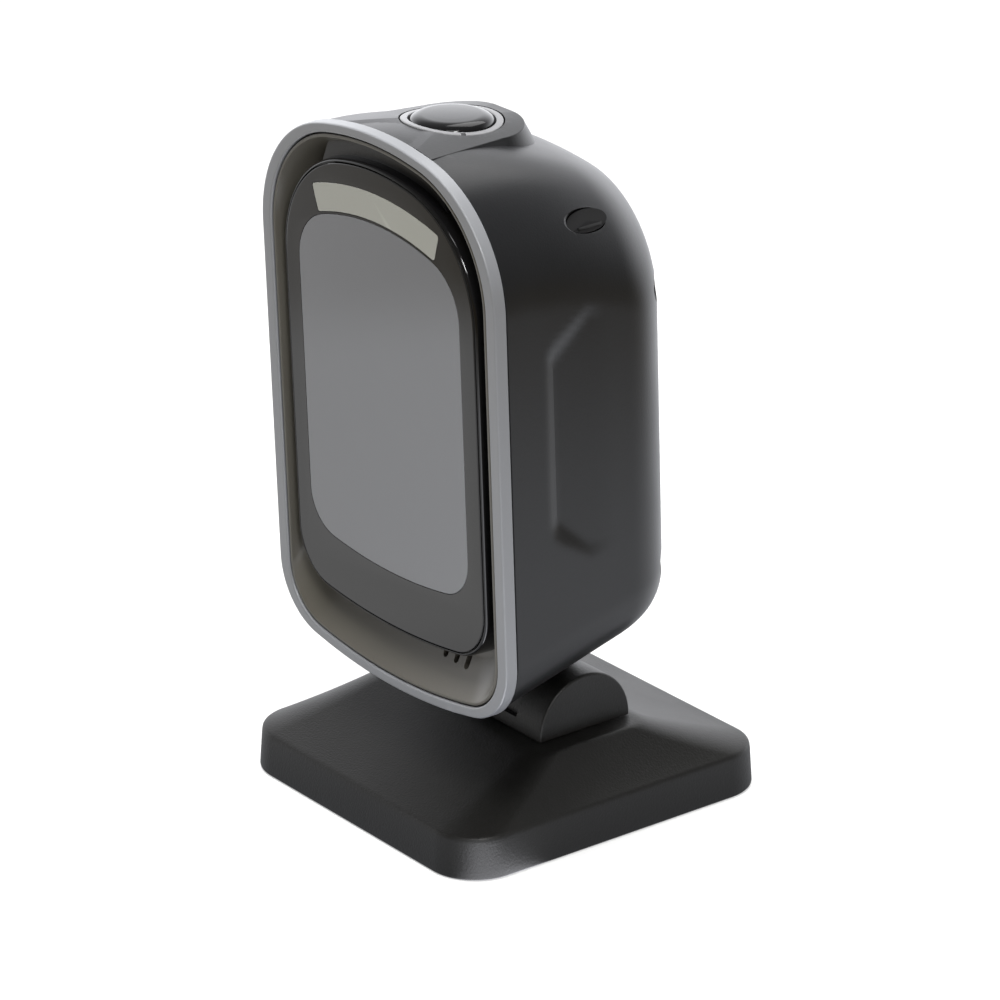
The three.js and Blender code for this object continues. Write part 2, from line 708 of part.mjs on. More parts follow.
function buttonBezel() {
  const top = podTopZ;
  const ring = turned([
    [buttonRadius + 0.35, top - 4.4], [11.2, top - 4.4], [11.2, top - 12.9], [12.1, top - 12.9],
    [12.1, top - wall - clearance],
    [buttonHoleRadius - clearance, top - wall - clearance], [buttonHoleRadius - clearance, top + 0.5],
    [buttonRadius + 0.35, top + 0.5], [buttonRadius + 0.35, top - 4.4],
  ], 28);
  const notch = box(buttonRadius + 0.9, 12, -0.5, 0.5, top - 1.2, top + 1).rotateZ(-0.42);
  return overlap(cut(ring, notch), underPodCrown().translate(0, -podCentreY, 0));
}

function buttonCap() {
  const top = podTopZ + buttonRise;
  const shelf = podTopZ - 4.7;
  return turned([
    [0, shelf - 3.6], [1.5, shelf - 3.6], [1.5, shelf - 1.4], [10.8, shelf - 1.4], [10.8, shelf],
    [buttonRadius, shelf], [buttonRadius, top - 1.6], [buttonRadius - 0.45, top - 0.95],
    [buttonRadius - 1.4, top - 0.4], [buttonRadius - 2.8, top - 0.1], [0, top],
  ], 28);
}

function buttonCarrier() {
  return rod(12.1, podTopZ - 14.6, podTopZ - 13.2, 24);
}

function tactSwitch() {
  const low = podTopZ - 12.9;
  return join(box(-3, 3, -3, 3, low, low + 3.2), rod(1.4, low + 3, low + 3.5, 12));
}

const springLow = podTopZ - 12.4;
const springHigh = podTopZ - 6.9;

function buttonSpring() {
  const turns = 3;
  class Helix extends THREE.Curve {
    getPoint(t, target = new THREE.Vector3()) {
      const angle = 2 * Math.PI * turns * t;
      const z = springLow + (springHigh - springLow) * t;
      return target.set(6 * Math.cos(angle), 6 * Math.sin(angle), z);
    }
  }
  const wireRadius = 0.35;
  const section = new THREE.Shape(Array.from({ length: 5 }, (_, i) => {
    const angle = i * Math.PI * 0.4;
    return new THREE.Vector2(wireRadius * Math.cos(angle), wireRadius * Math.sin(angle));
  }));
  const wire = new THREE.ExtrudeGeometry(section, { steps: turns * 10, extrudePath: new Helix() });
  return faceOutwards(welded(wire));
}

// ---------------------------------------------------------------- assembly

const object = new THREE.Group();
object.name = 'presentation_scanner';

function place(parent, mesh, x = 0, y = 0, z = 0) {
  mesh.position.set(x, y, z);
  parent.add(mesh);
}

function buildStand() {
  const corner = ([x, y]) => `${y < 0 ? 'front' : 'rear'}_${x < 0 ? 'left' : 'right'}`;
  place(object, meshPiece('base_cover', baseCover(), standPlastic));
  place(object, meshPiece('base_bottom_plate', baseBottomPlate(), blackPlastic));
  place(object, meshPiece('ballast_plate', ballastPlate(), steel));
  for (const at of bossPlaces) {
    const [x, y] = at;
    const screw = screwShape(2.6, 0.7, 1.4, 6.4).rotateX(Math.PI);
    place(object, meshPiece(`base_screw_${corner(at)}`, screw, steel), x, y, plateBottom + 0.8 - clearance);
    place(object, meshPiece(`rubber_foot_${corner(at)}`, foot(), rubber), x * 0.72, y * 1.02, 0);
  }
}

function buildHinge() {
  const hinge = new THREE.Group();
  hinge.position.set(0, hingeY, hingeZ);
  object.add(hinge);
  place(hinge, meshPiece('hinge_drum', hingeDrum(), standPlastic));
  place(hinge, meshPiece('hinge_shaft', alongX(rod(shaftRadius, -23.3, 23.3)), steel));
  for (const [side, hand] of [[1, 'right'], [-1, 'left']]) {
    place(hinge, meshPiece(`shaft_retainer_${hand}`, shaftRetainer(), steel), side * retainerX);
    const friction = alongX(tube(shaftRadius + clearance, 5.8, -0.6, 0.6));
    place(hinge, meshPiece(`friction_washer_${hand}`, friction, nylon), side * 13.4);
    const spring = alongX(turned([[2.8, -0.2], [5.6, 0.2], [5.6, 0.7], [2.8, 0.3], [2.8, -0.2]]));
    if (side < 0) spring.rotateZ(Math.PI);
    place(hinge, meshPiece(`spring_washer_${hand}`, spring, steel), side * 14.7);
  }
  const screwTop = plateauHeight - wall - clearance - hingeZ - 2.4 - clearance;
  retainerScrewPlaces.forEach(([x, y], i) => {
    const screw = screwShape(2.6, 1.4, 1.4, 9).rotateX(Math.PI);
    place(hinge, meshPiece(`hinge_screw_${i + 1}`, screw, steel), x, y, screwTop);
  });
}

function buildHead() {
  const head = new THREE.Group();
  head.position.set(0, hingeY, hingeZ);
  head.rotation.x = headLean;
  object.add(head);

  place(head, meshPiece('neck', neck(), standPlastic));
  for (const [side, hand] of [[1, 'right'], [-1, 'left']]) {
    const bush = alongX(tube(shaftRadius + clearance, 3.6, -6, 6));
    place(head, meshPiece(`neck_bush_${hand}`, bush, nylon), side * 6.4);
  }
  neckScrews().forEach(({ x, y, z }, i) => {
    const screw = screwShape(2.6, 1.2, 1.2, 5.4).rotateX(Math.PI + floorSlope);
    const drop = 4.5;              // from the flange's middle down to the screw head's seat
    const seatY = y + drop * Math.sin(floorSlope);
    place(head, meshPiece(`neck_screw_${i + 1}`, screw, steel), x, seatY, z - drop * Math.cos(floorSlope));
  });

  place(head, meshPiece('housing_shell', housingShell(), housingPlastic));
  place(head, meshPiece('front_ring', frontRing(), ringPlastic));
  place(head, meshPiece('recess_bezel', recessBezel(), housingPlastic));
  place(head, meshPiece('window_plinth', windowPlinth(), glossBlack));
  place(head, meshPiece('window_gasket', windowGasket(), rubber));
  place(head, meshPiece('window_mask', windowMask(), glossBlack));
  place(head, meshPiece('clear_window', clearWindow(), windowTint));
  place(head, meshPiece('light_strip', lightStrip(), diffuser));
  place(head, meshPiece('light_pipe', lightPipe(), clearOptic));
  screwWells.forEach(({ x, z }, i) => {
    const screw = alongY(screwShape(2.6, 1.6, 1.4, 8.5));
    place(head, meshPiece(`housing_screw_${i + 1}`, screw, steel), x, -14 + clearance, z);
  });
  for (const [side, hand] of [[1, 'right'], [-1, 'left']]) {
    place(head, meshPiece(`shoulder_plug_${hand}`, onShoulder(shoulderPlug(), side), blackPlastic));
  }

  place(head, meshPiece('illumination_board', illuminationBoard(), circuitGreen));
  place(head, meshPiece('imager_block', box(-12, 12, -17.8, -8, imagerZ - 12, imagerZ + 12), blackPlastic));
  place(head, meshPiece('lens_barrel', lensBarrel(), blackPlastic));
  place(head, meshPiece('camera_lens', cameraLens(), clearOptic));
  place(head, meshPiece('sensor_board', box(-13, 13, -7.7, -6.3, imagerZ - 14, imagerZ + 14), circuitGreen));
  for (const [side, hand] of [[1, 'right'], [-1, 'left']]) {
    place(head, meshPiece(`led_reflector_${hand}`, ledReflector(), steel), side * 16.8, 0, imagerZ);
    place(head, meshPiece(`led_${hand}`, ledDome(), clearOptic), side * 16.8, 0, imagerZ);
  }
  place(head, meshPiece('main_board', box(-19, 19, -3, -1.4, 50, 98), circuitGreen));
  place(head, meshPiece('speaker', speaker(), blackPlastic), 15, 0, windowMiddle - 33);
  place(head, meshPiece('cable_socket', cableSocket(), blackPlastic));
  place(head, meshPiece('socket_contacts', socketContacts(), brass));

  const podFrame = new THREE.Group();
  podFrame.rotation.x = -headLean;
  head.add(podFrame);
  place(podFrame, meshPiece('button_bezel', buttonBezel(), housingPlastic), 0, podCentreY);
  place(podFrame, meshPiece('button_cap', buttonCap(), glossBlack), 0, podCentreY);
  place(podFrame, meshPiece('button_spring', buttonSpring(), steel), 0, podCentreY);
  place(podFrame, meshPiece('button_carrier', buttonCarrier(), circuitGreen), 0, podCentreY);
  place(podFrame, meshPiece('tact_switch', tactSwitch(), blackPlastic), 0, podCentreY);
}

buildStand();
buildHinge();
buildHead();

export default object;
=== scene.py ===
"""Looks of the presentation barcode scanner: fine meshes and procedural materials round the CAD frame.

Lengths in the shape functions are millimetres; piece() turns them into metres.
The head's pieces are made in the head's own frame, whose origin is on the tilt axis, and then lean forward.
"""

import json
import math

import bmesh
import bpy
from mathutils import Matrix, Vector


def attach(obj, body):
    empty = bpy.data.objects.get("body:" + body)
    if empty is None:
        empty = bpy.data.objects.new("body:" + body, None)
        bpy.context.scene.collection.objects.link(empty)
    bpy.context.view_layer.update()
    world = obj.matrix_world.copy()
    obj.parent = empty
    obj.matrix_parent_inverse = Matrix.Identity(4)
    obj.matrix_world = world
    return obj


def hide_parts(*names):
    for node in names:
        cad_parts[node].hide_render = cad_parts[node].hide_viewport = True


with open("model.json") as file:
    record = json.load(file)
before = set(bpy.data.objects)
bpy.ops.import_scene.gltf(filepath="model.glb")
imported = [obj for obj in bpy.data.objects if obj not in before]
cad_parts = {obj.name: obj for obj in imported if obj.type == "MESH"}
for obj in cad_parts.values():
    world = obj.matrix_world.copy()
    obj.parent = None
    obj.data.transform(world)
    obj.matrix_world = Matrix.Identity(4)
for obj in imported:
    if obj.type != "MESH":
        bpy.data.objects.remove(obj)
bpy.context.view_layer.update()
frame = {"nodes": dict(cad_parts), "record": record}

# ---------------------------------------------------------------- driving dimensions

MM = 0.001
CLEARANCE = 0.3
WALL = 2.2

HINGE = Vector((0, 2.7, 19.1))
HEAD_LEAN = math.radians(2.2)
HEAD = Matrix.Translation(HINGE) @ Matrix.Rotation(HEAD_LEAN, 4, "X")
POD = Matrix.Translation(HINGE)          # the pod and its button stand upright
STAND = Matrix.Identity(4)
DRUM = Matrix.Translation(HINGE)

BASE_HALF_X, BASE_HALF_Y, BASE_CORNER = 41, 42.35, 11.4
RIM_TOP = 9.7
RIM_TOP_INSET = 0.9                      # how far the slopes start inside the footprint
SKIN_BOTTOM = 0.15                       # the skin's gap over the table
PLATEAU = 18.5
PLATEAU_HALF_X, PLATEAU_HALF_Y, PLATEAU_CORNER, PLATEAU_Y = 29.5, 15, 5.5, 1.5
BASE_BOSS = 31                           # the screw bosses' places in X and Y
FOOT_X, FOOT_Y = 22.32, 31.62

DRUM_RADIUS, DRUM_HALF_WIDTH, DRUM_EDGE = 12.3, 24.6, 0.6
DRUM_SLOT_HALF_WIDTH = 15.9
FLANGE_MIDDLE = 23.2                     # height of the neck's flange over the tilt axis

WINDOW_MIDDLE = 61.8
RING_FRONT = -32.7
RING_BACK = -29.8
HOUSING_FRONT = -29.5
FLOOR_SLOPE = math.atan(0.232)
PANEL_FACE = -32.25
PANEL_BACK = -30.95
RECESS_FLOOR = -26.7


def outline_sizes(half_width, top, bottom, top_arc, top_corner, bottom_arc, bottom_corner):
    return {
        "half_width": half_width, "top": top, "bottom": bottom, "top_arc": top_arc,
        "top_corner": top_corner, "bottom_arc": bottom_arc, "bottom_corner": bottom_corner,
    }


RING_OUTER = outline_sizes(40.3, 74.3, -50.7, 82, 28, 137, 15.2)
RING_INNER = outline_sizes(37.1, 72.2, -48.4, 80, 26.5, 135, 12.8)
PANEL = outline_sizes(32.4, 66, -36.2, 60, 25, 150, 11.5)
WINDOW = outline_sizes(27.8, 54.6, -23.8, 66, 12.5, 120, 9.6)
PLINTH = outline_sizes(33.7, 67.3, -37.6, 61, 26, 151, 12.6)
OPENING = outline_sizes(29.8, 63.3, -33.4, 57.4, 22.4, 147, 9)

STRIP_INNER = 66
STRIP_GAP = 0.4
STRIP_HEIGHT = 6.4
STRIP_HALF_LENGTH = 19.9

POD_Y = -16.7
POD_TOP = 134.3
POD_HALF_WIDTH, POD_REAR, POD_CORNER = 13.4, 13.1, 10.2
POD_TAPER = 0.13
POD_FLARE = 0.61
POD_ARCH = 70
POD_FALL = 0.038
BUTTON_HOLE = 11.05
BUTTON_RADIUS = 8.85
BUTTON_RISE = 0.95
NOTCH_TURN = 0.42                        # the notch's turn from the right towards the front, in radians

SHOULDER = Vector((34.6, -3.55, 119.93))
SHOULDER_TILT = math.radians(51)

HOUSING_REAR_START, HOUSING_REAR_DEPTH = 2, 18.9
REAR_BULGE = 1.5

GRIP = [(-17.2, 57.5), (-17.2, 94), (-8.2, 102.6), (24, 102.6), (24, 50.4), (-9.6, 50.4)]
GRIP_FLOOR = 39.2                        # the grip floor's distance from the middle at its front end
GRIP_RISE = 0.085                        # how fast that floor comes out towards the rear
GRIP_BANK = 2.7                          # run of the bank round the grip for each unit of depth

CAMERA_AZIMUTH, CAMERA_ELEVATION = math.radians(52.16), math.radians(22.185)
CAMERA_DISTANCE = 1.05905
CAMERA_TARGET = Vector((-0.012803, 0.008548, 0.058288))
CAMERA_LENS = 174.64

SCREW_WELLS = [(33.2, 38), (-33.2, 38), (33.2, 100), (-33.2, 100)]

# ---------------------------------------------------------------- mesh helpers


def piece(name, mesh, place, body, replaced, material, sharp=32):
    """Turns a bmesh in millimetres into a finished piece that rides on a body and replaces CAD nodes."""
    bmesh.ops.transform(mesh, matrix=Matrix.Scale(MM, 4) @ place, verts=mesh.verts)
    obj = to_object(name, mesh)
    shade(obj, sharp)
    obj.data.materials.append(material)
    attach(obj, body)
    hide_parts(*replaced)
    even = obj.modifiers.new("even_normals", "WEIGHTED_NORMAL")
    even.keep_sharp = True
    return obj


def to_object(name, mesh):
    bmesh.ops.recalc_face_normals(mesh, faces=mesh.faces)
    data = bpy.data.meshes.new(name)
    mesh.to_mesh(data)
    mesh.free()
    obj = bpy.data.objects.new(name, data)
    bpy.context.scene.collection.objects.link(obj)
    return obj


def shade(obj, sharp):
    """Smooth faces, with edges above the angle sharp, in degrees, kept crisp."""
    limit = math.radians(sharp)
    mesh = bmesh.new()
    mesh.from_mesh(obj.data)
    for face in mesh.faces:
        face.smooth = True
    for edge in mesh.edges:
        edge.smooth = len(edge.link_faces) == 2 and edge.calc_face_angle(0) < limit
    mesh.to_mesh(obj.data)
    mesh.free()


def loft(rings, closed=False):
    """A skin over rings of points. An open row gets a fan over each end; a closed row meets its start."""
    mesh = bmesh.new()
    rows = [[mesh.verts.new(p) for p in ring] for ring in rings]
    count = len(rings[0])
    pairs = list(zip(rows, rows[1:] + rows[:1])) if closed else list(zip(rows, rows[1:]))
    for here, after in pairs:
        for j in range(count):
            k = (j + 1) % count
            mesh.faces.new((here[j], here[k], after[k], after[j]))
    if not closed:
        for row in (rows[0], rows[-1]):
            middle = mesh.verts.new(sum((v.co for v in row), Vector()) / count)
            for j in range(count):
                mesh.faces.new((row[j], row[(j + 1) % count], middle))
    return mesh


def lathe(profile, steps=96):
    """Turns (radius, height) pairs about Z. A profile that starts off the axis closes on itself."""
    mesh = bmesh.new()
    rows = []
    for radius, height in profile:
        if radius < 1e-6:
            rows.append([mesh.verts.new((0, 0, height))])
        else:
            turn = [2 * math.pi * i / steps for i in range(steps)]
            rows.append([mesh.verts.new((radius * math.cos(a), radius * math.sin(a), height)) for a in turn])
    on_axis = len(rows[0]) == 1
    pairs = list(zip(rows, rows[1:])) if on_axis else list(zip(rows, rows[1:] + rows[:1]))
    for here, after in pairs:
        for j in range(steps):
            k = (j + 1) % steps
            if len(here) == 1:
                mesh.faces.new((here[0], after[k], after[j]))
            elif len(after) == 1:
                mesh.faces.new((here[j], here[k], after[0]))
            else:
                mesh.faces.new((here[j], here[k], after[k], after[j]))
    return mesh


def rounded(profile, radius, steps=4, closed=False):
    """A profile whose corners are rounded by up to radius. A corner may state its own as a third value."""
    points = []
    count = len(profile)
    for i, corner in enumerate(profile):
        here = Vector(corner[:2])
        if not closed and i in (0, count - 1):
            points.append(tuple(here))
            continue
        before = Vector(profile[i - 1][:2])
        after = Vector(profile[(i + 1) % count][:2])
        size = corner[2] if len(corner) > 2 else radius
        size = min(size, (before - here).length * 0.48, (after - here).length * 0.48)
        if size < 1e-4:
            points.append(tuple(here))
            continue
        start = here + (before - here).normalized() * size
        end = here + (after - here).normalized() * size
        for step in range(steps + 1):
            t = step / steps
            points.append(tuple(start * (1 - t) ** 2 + here * 2 * t * (1 - t) + end * t * t))
    return points


def moved(mesh, matrix):
    bmesh.ops.transform(mesh, matrix=matrix, verts=mesh.verts)
    return mesh


def shifted(mesh, x=0, y=0, z=0):
    return moved(mesh, Matrix.Translation((x, y, z)))


def along_x(mesh):
    return moved(mesh, Matrix.Rotation(math.pi / 2, 4, "Y"))


def along_y(mesh):
    """Turns a form made about Z so that its height runs along Y."""
    return moved(mesh, Matrix.Rotation(-math.pi / 2, 4, "X"))


def boolean(body, tools, operation):
    """Joins or cuts bmeshes with Blender's manifold solver, and returns the result as a bmesh."""
    base = to_object("working", body)
    made = []
    for tool in tools:
        cutter = to_object("cutter", tool)
        made.append(cutter)
        change = base.modifiers.new("boolean", "BOOLEAN")
        change.solver = "MANIFOLD"
        change.operation = operation
        change.object = cutter
    bpy.context.view_layer.update()
    graph = bpy.context.evaluated_depsgraph_get()
    result = bmesh.new()
    result.from_object(base, graph)
    for obj in [base, *made]:
        data = obj.data
        bpy.data.objects.remove(obj)
        bpy.data.meshes.remove(data)
    return result


def cut(body, *tools):
    return boolean(body, tools, "DIFFERENCE")


def join(body, *tools):
    return boolean(body, tools, "UNION")


def overlap(body, *tools):
    return boolean(body, tools, "INTERSECT")


def box(x0, x1, y0, y1, z0, z1):
    mesh = bmesh.new()
    bmesh.ops.create_cube(mesh, size=1)
    size = Matrix.Diagonal((x1 - x0, y1 - y0, z1 - z0, 1))
    return moved(mesh, Matrix.Translation(((x0 + x1) / 2, (y0 + y1) / 2, (z0 + z1) / 2)) @ size)


def rod(radius, z0, z1, steps=64, edge=0.0):
    """A rod about Z whose end edges are rounded by edge."""
    profile = [(0, z0), (radius, z0), (radius, z1), (0, z1)]
    return lathe(rounded(profile, edge) if edge else profile, steps)


# ---------------------------------------------------------------- outlines


def head_outline(sizes, top=14, corner=26, side=48, low_corner=18, low=14):
    """The head's outline seen from the front as (x, v), with tangent arcs and a dense straight side."""
    s = sizes

    def arc(cx, cy, radius, start, end, steps):
        turn = [start + (end - start) * i / steps for i in range(steps)]
        return [(cx + radius * math.sin(a), cy + radius * math.cos(a)) for a in turn]

    top_x = s["half_width"] - s["top_corner"]
    top_centre = s["top"] - s["top_arc"]
    top_v = top_centre + math.sqrt((s["top_arc"] - s["top_corner"]) ** 2 - top_x ** 2)
    top_turn = math.atan2(top_x, top_v - top_centre)
    low_x = s["half_width"] - s["bottom_corner"]
    low_centre = s["bottom"] + s["bottom_arc"]
    low_v = low_centre - math.sqrt((s["bottom_arc"] - s["bottom_corner"]) ** 2 - low_x ** 2)
    low_turn = math.pi - math.atan2(low_x, low_centre - low_v)
    right = arc(0, top_centre, s["top_arc"], 0, top_turn, top)
    right += arc(top_x, top_v, s["top_corner"], top_turn, math.pi / 2, corner)
    right += [(s["half_width"], top_v + (low_v - top_v) * i / side) for i in range(side)]
    right += arc(low_x, low_v, s["bottom_corner"], math.pi / 2, low_turn, low_corner)
    right += arc(0, low_centre, s["bottom_arc"], low_turn, math.pi, low)
    right.append((0, s["bottom"]))
    return right + [(-x, v) for x, v in reversed(right[1:-1])]


def grow(sizes, by):
    grown = {name: value + by for name, value in sizes.items()}
    grown["bottom"] = sizes["bottom"] - by
    return grown


def head_ring(sizes, y, **steps):
    return [Vector((x, y, WINDOW_MIDDLE + v)) for x, v in head_outline(sizes, **steps)]


def ring_loft(profile, **steps):
    """A closed loft of head outlines. The profile lists (outline, depth) pairs round the section."""
    return loft([head_ring(sizes, y, **steps) for sizes, y in profile], closed=True)


def between(a, b, share):
    return {name: a[name] + (b[name] - a[name]) * share for name in a}


def section(corners, steps=4):
    """Rounds the corners of a ring's section. Each corner is (outline, depth, radius)."""
    done = []
    count = len(corners)
    for i, (sizes, y, radius) in enumerate(corners):
        if radius <= 0:
            done.append((sizes, y))
            continue
        last, after = corners[i - 1], corners[(i + 1) % count]

        def towards(other):
            run = math.hypot(other[0]["half_width"] - sizes["half_width"], other[1] - y)
            share = min(radius / run, 0.48)
            return between(sizes, other[0], share), y + (other[1] - y) * share

        (start, start_y), (end, end_y) = towards(last), towards(after)
        for step in range(steps + 1):
            t = step / steps
            blend = {
                name: start[name] * (1 - t) ** 2 + sizes[name] * 2 * t * (1 - t) + end[name] * t * t
                for name in sizes
            }
            done.append((blend, start_y * (1 - t) ** 2 + y * 2 * t * (1 - t) + end_y * t * t))
    return done


# ---------------------------------------------------------------- materials


def new_material(name):
    material = bpy.data.materials.new(name)
    material.use_nodes = True
    nodes = material.node_tree.nodes
    nodes.clear()
    return material, nodes, material.node_tree.links


def moulded(name, color, roughness, grain=0.25, bump=0.04, mottle=0.06, wear=0.35, spec=0.5, coat=0.0):
    """Moulded plastic. grain is the texture's size in millimetres, bump its depth, mottle the share by
    which the colour drifts over the surface, and wear how much lighter rubbed edges are."""
    material, nodes, links = new_material(name)
    shader = nodes.new("ShaderNodeBsdfPrincipled")
    output = nodes.new("ShaderNodeOutputMaterial")
    links.new(shader.outputs["BSDF"], output.inputs["Surface"])
    where = nodes.new("ShaderNodeTexCoord")

    def noise(size_mm, detail, rough=0.6):
        node = nodes.new("ShaderNodeTexNoise")
        node.inputs["Scale"].default_value = 1000 / size_mm
        node.inputs["Detail"].default_value = detail
        node.inputs["Roughness"].default_value = rough
        links.new(where.outputs["Object"], node.inputs["Vector"])
        return node

    drift = noise(14, 4)
    fine = noise(grain, 2)
    dark = [c * (1 - mottle) for c in color]
    light = [min(1, c * (1 + mottle)) for c in color]
    tone = nodes.new("ShaderNodeMix")
    tone.data_type = "RGBA"
    tone.inputs["A"].default_value = (*dark, 1)
    tone.inputs["B"].default_value = (*light, 1)
    links.new(drift.outputs["Fac"], tone.inputs["Factor"])

    edge = nodes.new("ShaderNodeNewGeometry")
    rubbed = nodes.new("ShaderNodeMapRange")
    rubbed.inputs["From Min"].default_value = 0.53
    rubbed.inputs["From Max"].default_value = 0.62
    rubbed.inputs["To Max"].default_value = wear
    links.new(edge.outputs["Pointiness"], rubbed.inputs["Value"])
    worn = nodes.new("ShaderNodeMix")
    worn.data_type = "RGBA"
    worn.inputs["B"].default_value = (*[min(1, c * 1.8 + 0.03) for c in color], 1)
    links.new(rubbed.outputs["Result"], worn.inputs["Factor"])
    links.new(tone.outputs["Result"], worn.inputs["A"])
    links.new(worn.outputs["Result"], shader.inputs["Base Color"])

    polish = nodes.new("ShaderNodeMapRange")
    polish.inputs["To Min"].default_value = max(0.02, roughness - 0.05)
    polish.inputs["To Max"].default_value = roughness + 0.05
    links.new(drift.outputs["Fac"], polish.inputs["Value"])
    links.new(polish.outputs["Result"], shader.inputs["Roughness"])

    relief = nodes.new("ShaderNodeBump")
    relief.inputs["Strength"].default_value = 1.0
    relief.inputs["Distance"].default_value = bump * MM
    links.new(fine.outputs["Fac"], relief.inputs["Height"])
    links.new(relief.outputs["Normal"], shader.inputs["Normal"])
    shader.inputs["Specular IOR Level"].default_value = spec
    shader.inputs["Coat Weight"].default_value = coat
    shader.inputs["Coat Roughness"].default_value = 0.08
    return material


def metal(name, color, roughness):
    """Plated metal with fine brush lines and a little tarnish."""
    material, nodes, links = new_material(name)
    shader = nodes.new("ShaderNodeBsdfPrincipled")
    output = nodes.new("ShaderNodeOutputMaterial")
    links.new(shader.outputs["BSDF"], output.inputs["Surface"])
    shader.inputs["Metallic"].default_value = 1
    where = nodes.new("ShaderNodeTexCoord")
    stretch = nodes.new("ShaderNodeMapping")
    stretch.inputs["Scale"].default_value = (300, 6000, 3000)
    links.new(where.outputs["Object"], stretch.inputs["Vector"])
    lines = nodes.new("ShaderNodeTexNoise")
    lines.inputs["Scale"].default_value = 1
    lines.inputs["Detail"].default_value = 3
    links.new(stretch.outputs["Vector"], lines.inputs["Vector"])
    tone = nodes.new("ShaderNodeMix")
    tone.data_type = "RGBA"
    tone.inputs["A"].default_value = (*[c * 0.8 for c in color], 1)
    tone.inputs["B"].default_value = (*color, 1)
    links.new(lines.outputs["Fac"], tone.inputs["Factor"])
    links.new(tone.outputs["Result"], shader.inputs["Base Color"])
    polish = nodes.new("ShaderNodeMapRange")
    polish.inputs["To Min"].default_value = roughness * 0.7
    polish.inputs["To Max"].default_value = roughness * 1.3
    links.new(lines.outputs["Fac"], polish.inputs["Value"])
    links.new(polish.outputs["Result"], shader.inputs["Roughness"])
    relief = nodes.new("ShaderNodeBump")
    relief.inputs["Distance"].default_value = 0.01 * MM
    links.new(lines.outputs["Fac"], relief.inputs["Height"])
    links.new(relief.outputs["Normal"], shader.inputs["Normal"])
    return material


housing_plastic = moulded("housing_plastic", (0.0075, 0.0078, 0.0088), 0.33, grain=0.4, bump=0.022)
recess_plastic = moulded("recess_plastic", (0.088, 0.082, 0.068), 0.34, grain=0.35, bump=0.004)
stand_plastic = moulded("stand_plastic", (0.005, 0.0048, 0.0042), 0.46, grain=0.5, bump=0.07)
ring_plastic = moulded(
    "ring_plastic", (0.195, 0.2, 0.211), 0.34, grain=0.3, bump=0.01, mottle=0.03, spec=0.9,
)
button_ring = moulded("button_ring", (0.16, 0.16, 0.165), 0.3, grain=0.3, bump=0.004)
gloss_black = moulded(
    "gloss_black", (0.004, 0.004, 0.0045), 0.1, grain=1.5, bump=0.002, mottle=0.15, spec=0.4, coat=0.15,
)
panel_black = moulded("panel_black", (0.014, 0.0138, 0.0135), 0.08, grain=2, bump=0.001, mottle=0.08)
window_glass = moulded("window_glass", (0.175, 0.179, 0.188), 0.08, grain=3, bump=0.001, mottle=0.02)
diffuser = moulded("diffuser", (0.36, 0.362, 0.325), 0.16, grain=1.2, bump=0.001, mottle=0.03)
black_plastic = moulded("black_plastic", (0.006, 0.006, 0.0065), 0.4, grain=0.3, bump=0.01)
rubber = moulded("rubber", (0.012, 0.012, 0.012), 0.8, grain=0.4, bump=0.03)
circuit_board = moulded("circuit_board", (0.012, 0.075, 0.035), 0.35, grain=0.8, bump=0.01, mottle=0.3)
nylon = moulded("nylon", (0.75, 0.73, 0.66), 0.45, grain=0.4, bump=0.01)
clear_optic = moulded("clear_optic", (0.6, 0.65, 0.7), 0.08, grain=2, bump=0.001, coat=0.5)
steel = metal("steel", (0.6, 0.6, 0.61), 0.3)
brass = metal("brass", (0.78, 0.58, 0.25), 0.3)

# ---------------------------------------------------------------- stand


def rounded_rectangle(half_x, half_y, radius, centre_y, z, corner=18, straight=20):
    ring = []
    for quarter in range(4):
        sx = 1 if quarter in (0, 3) else -1
        sy = 1 if quarter < 2 else -1
        cx, cy = sx * (half_x - radius), centre_y + sy * (half_y - radius)
        for i in range(corner + 1):
            angle = (quarter + i / corner) * math.pi / 2
            ring.append(Vector((cx + radius * math.cos(angle), cy + radius * math.sin(angle), z)))
        along_top = quarter % 2 == 0
        run = 2 * ((half_x if along_top else half_y) - radius)
        last = ring[-1].copy()
        step = [Vector((-1, 0, 0)), Vector((0, -1, 0)), Vector((1, 0, 0)), Vector((0, 1, 0))][quarter]
        for i in range(1, straight):
            ring.append(last + step * run * i / straight)
    return ring


def slope_ring(share, z, inset=0.0):
    """The stand's outline where share runs from 0 at the rim to 1 at the plateau."""
    def mix(rim, plateau):
        return rim + (plateau - rim) * share - inset
    return rounded_rectangle(
        mix(BASE_HALF_X - RIM_TOP_INSET, PLATEAU_HALF_X), mix(BASE_HALF_Y - RIM_TOP_INSET, PLATEAU_HALF_Y),
        max(mix(BASE_CORNER - RIM_TOP_INSET, PLATEAU_CORNER), 0.8), PLATEAU_Y * share, z,
    )


def soft_lower(a, b, width):
    """The lower of two heights, with the crease between them rounded over width."""
    h = max(0.0, min(1.0, 0.5 + 0.5 * (b - a) / width))
    return b + (a - b) * h - width * h * (1 - h)


def slope_height(share):
    line = RIM_TOP + (PLATEAU - RIM_TOP) * share - 2.0 * share * (1 - share)
    return soft_lower(line, PLATEAU, 0.7)


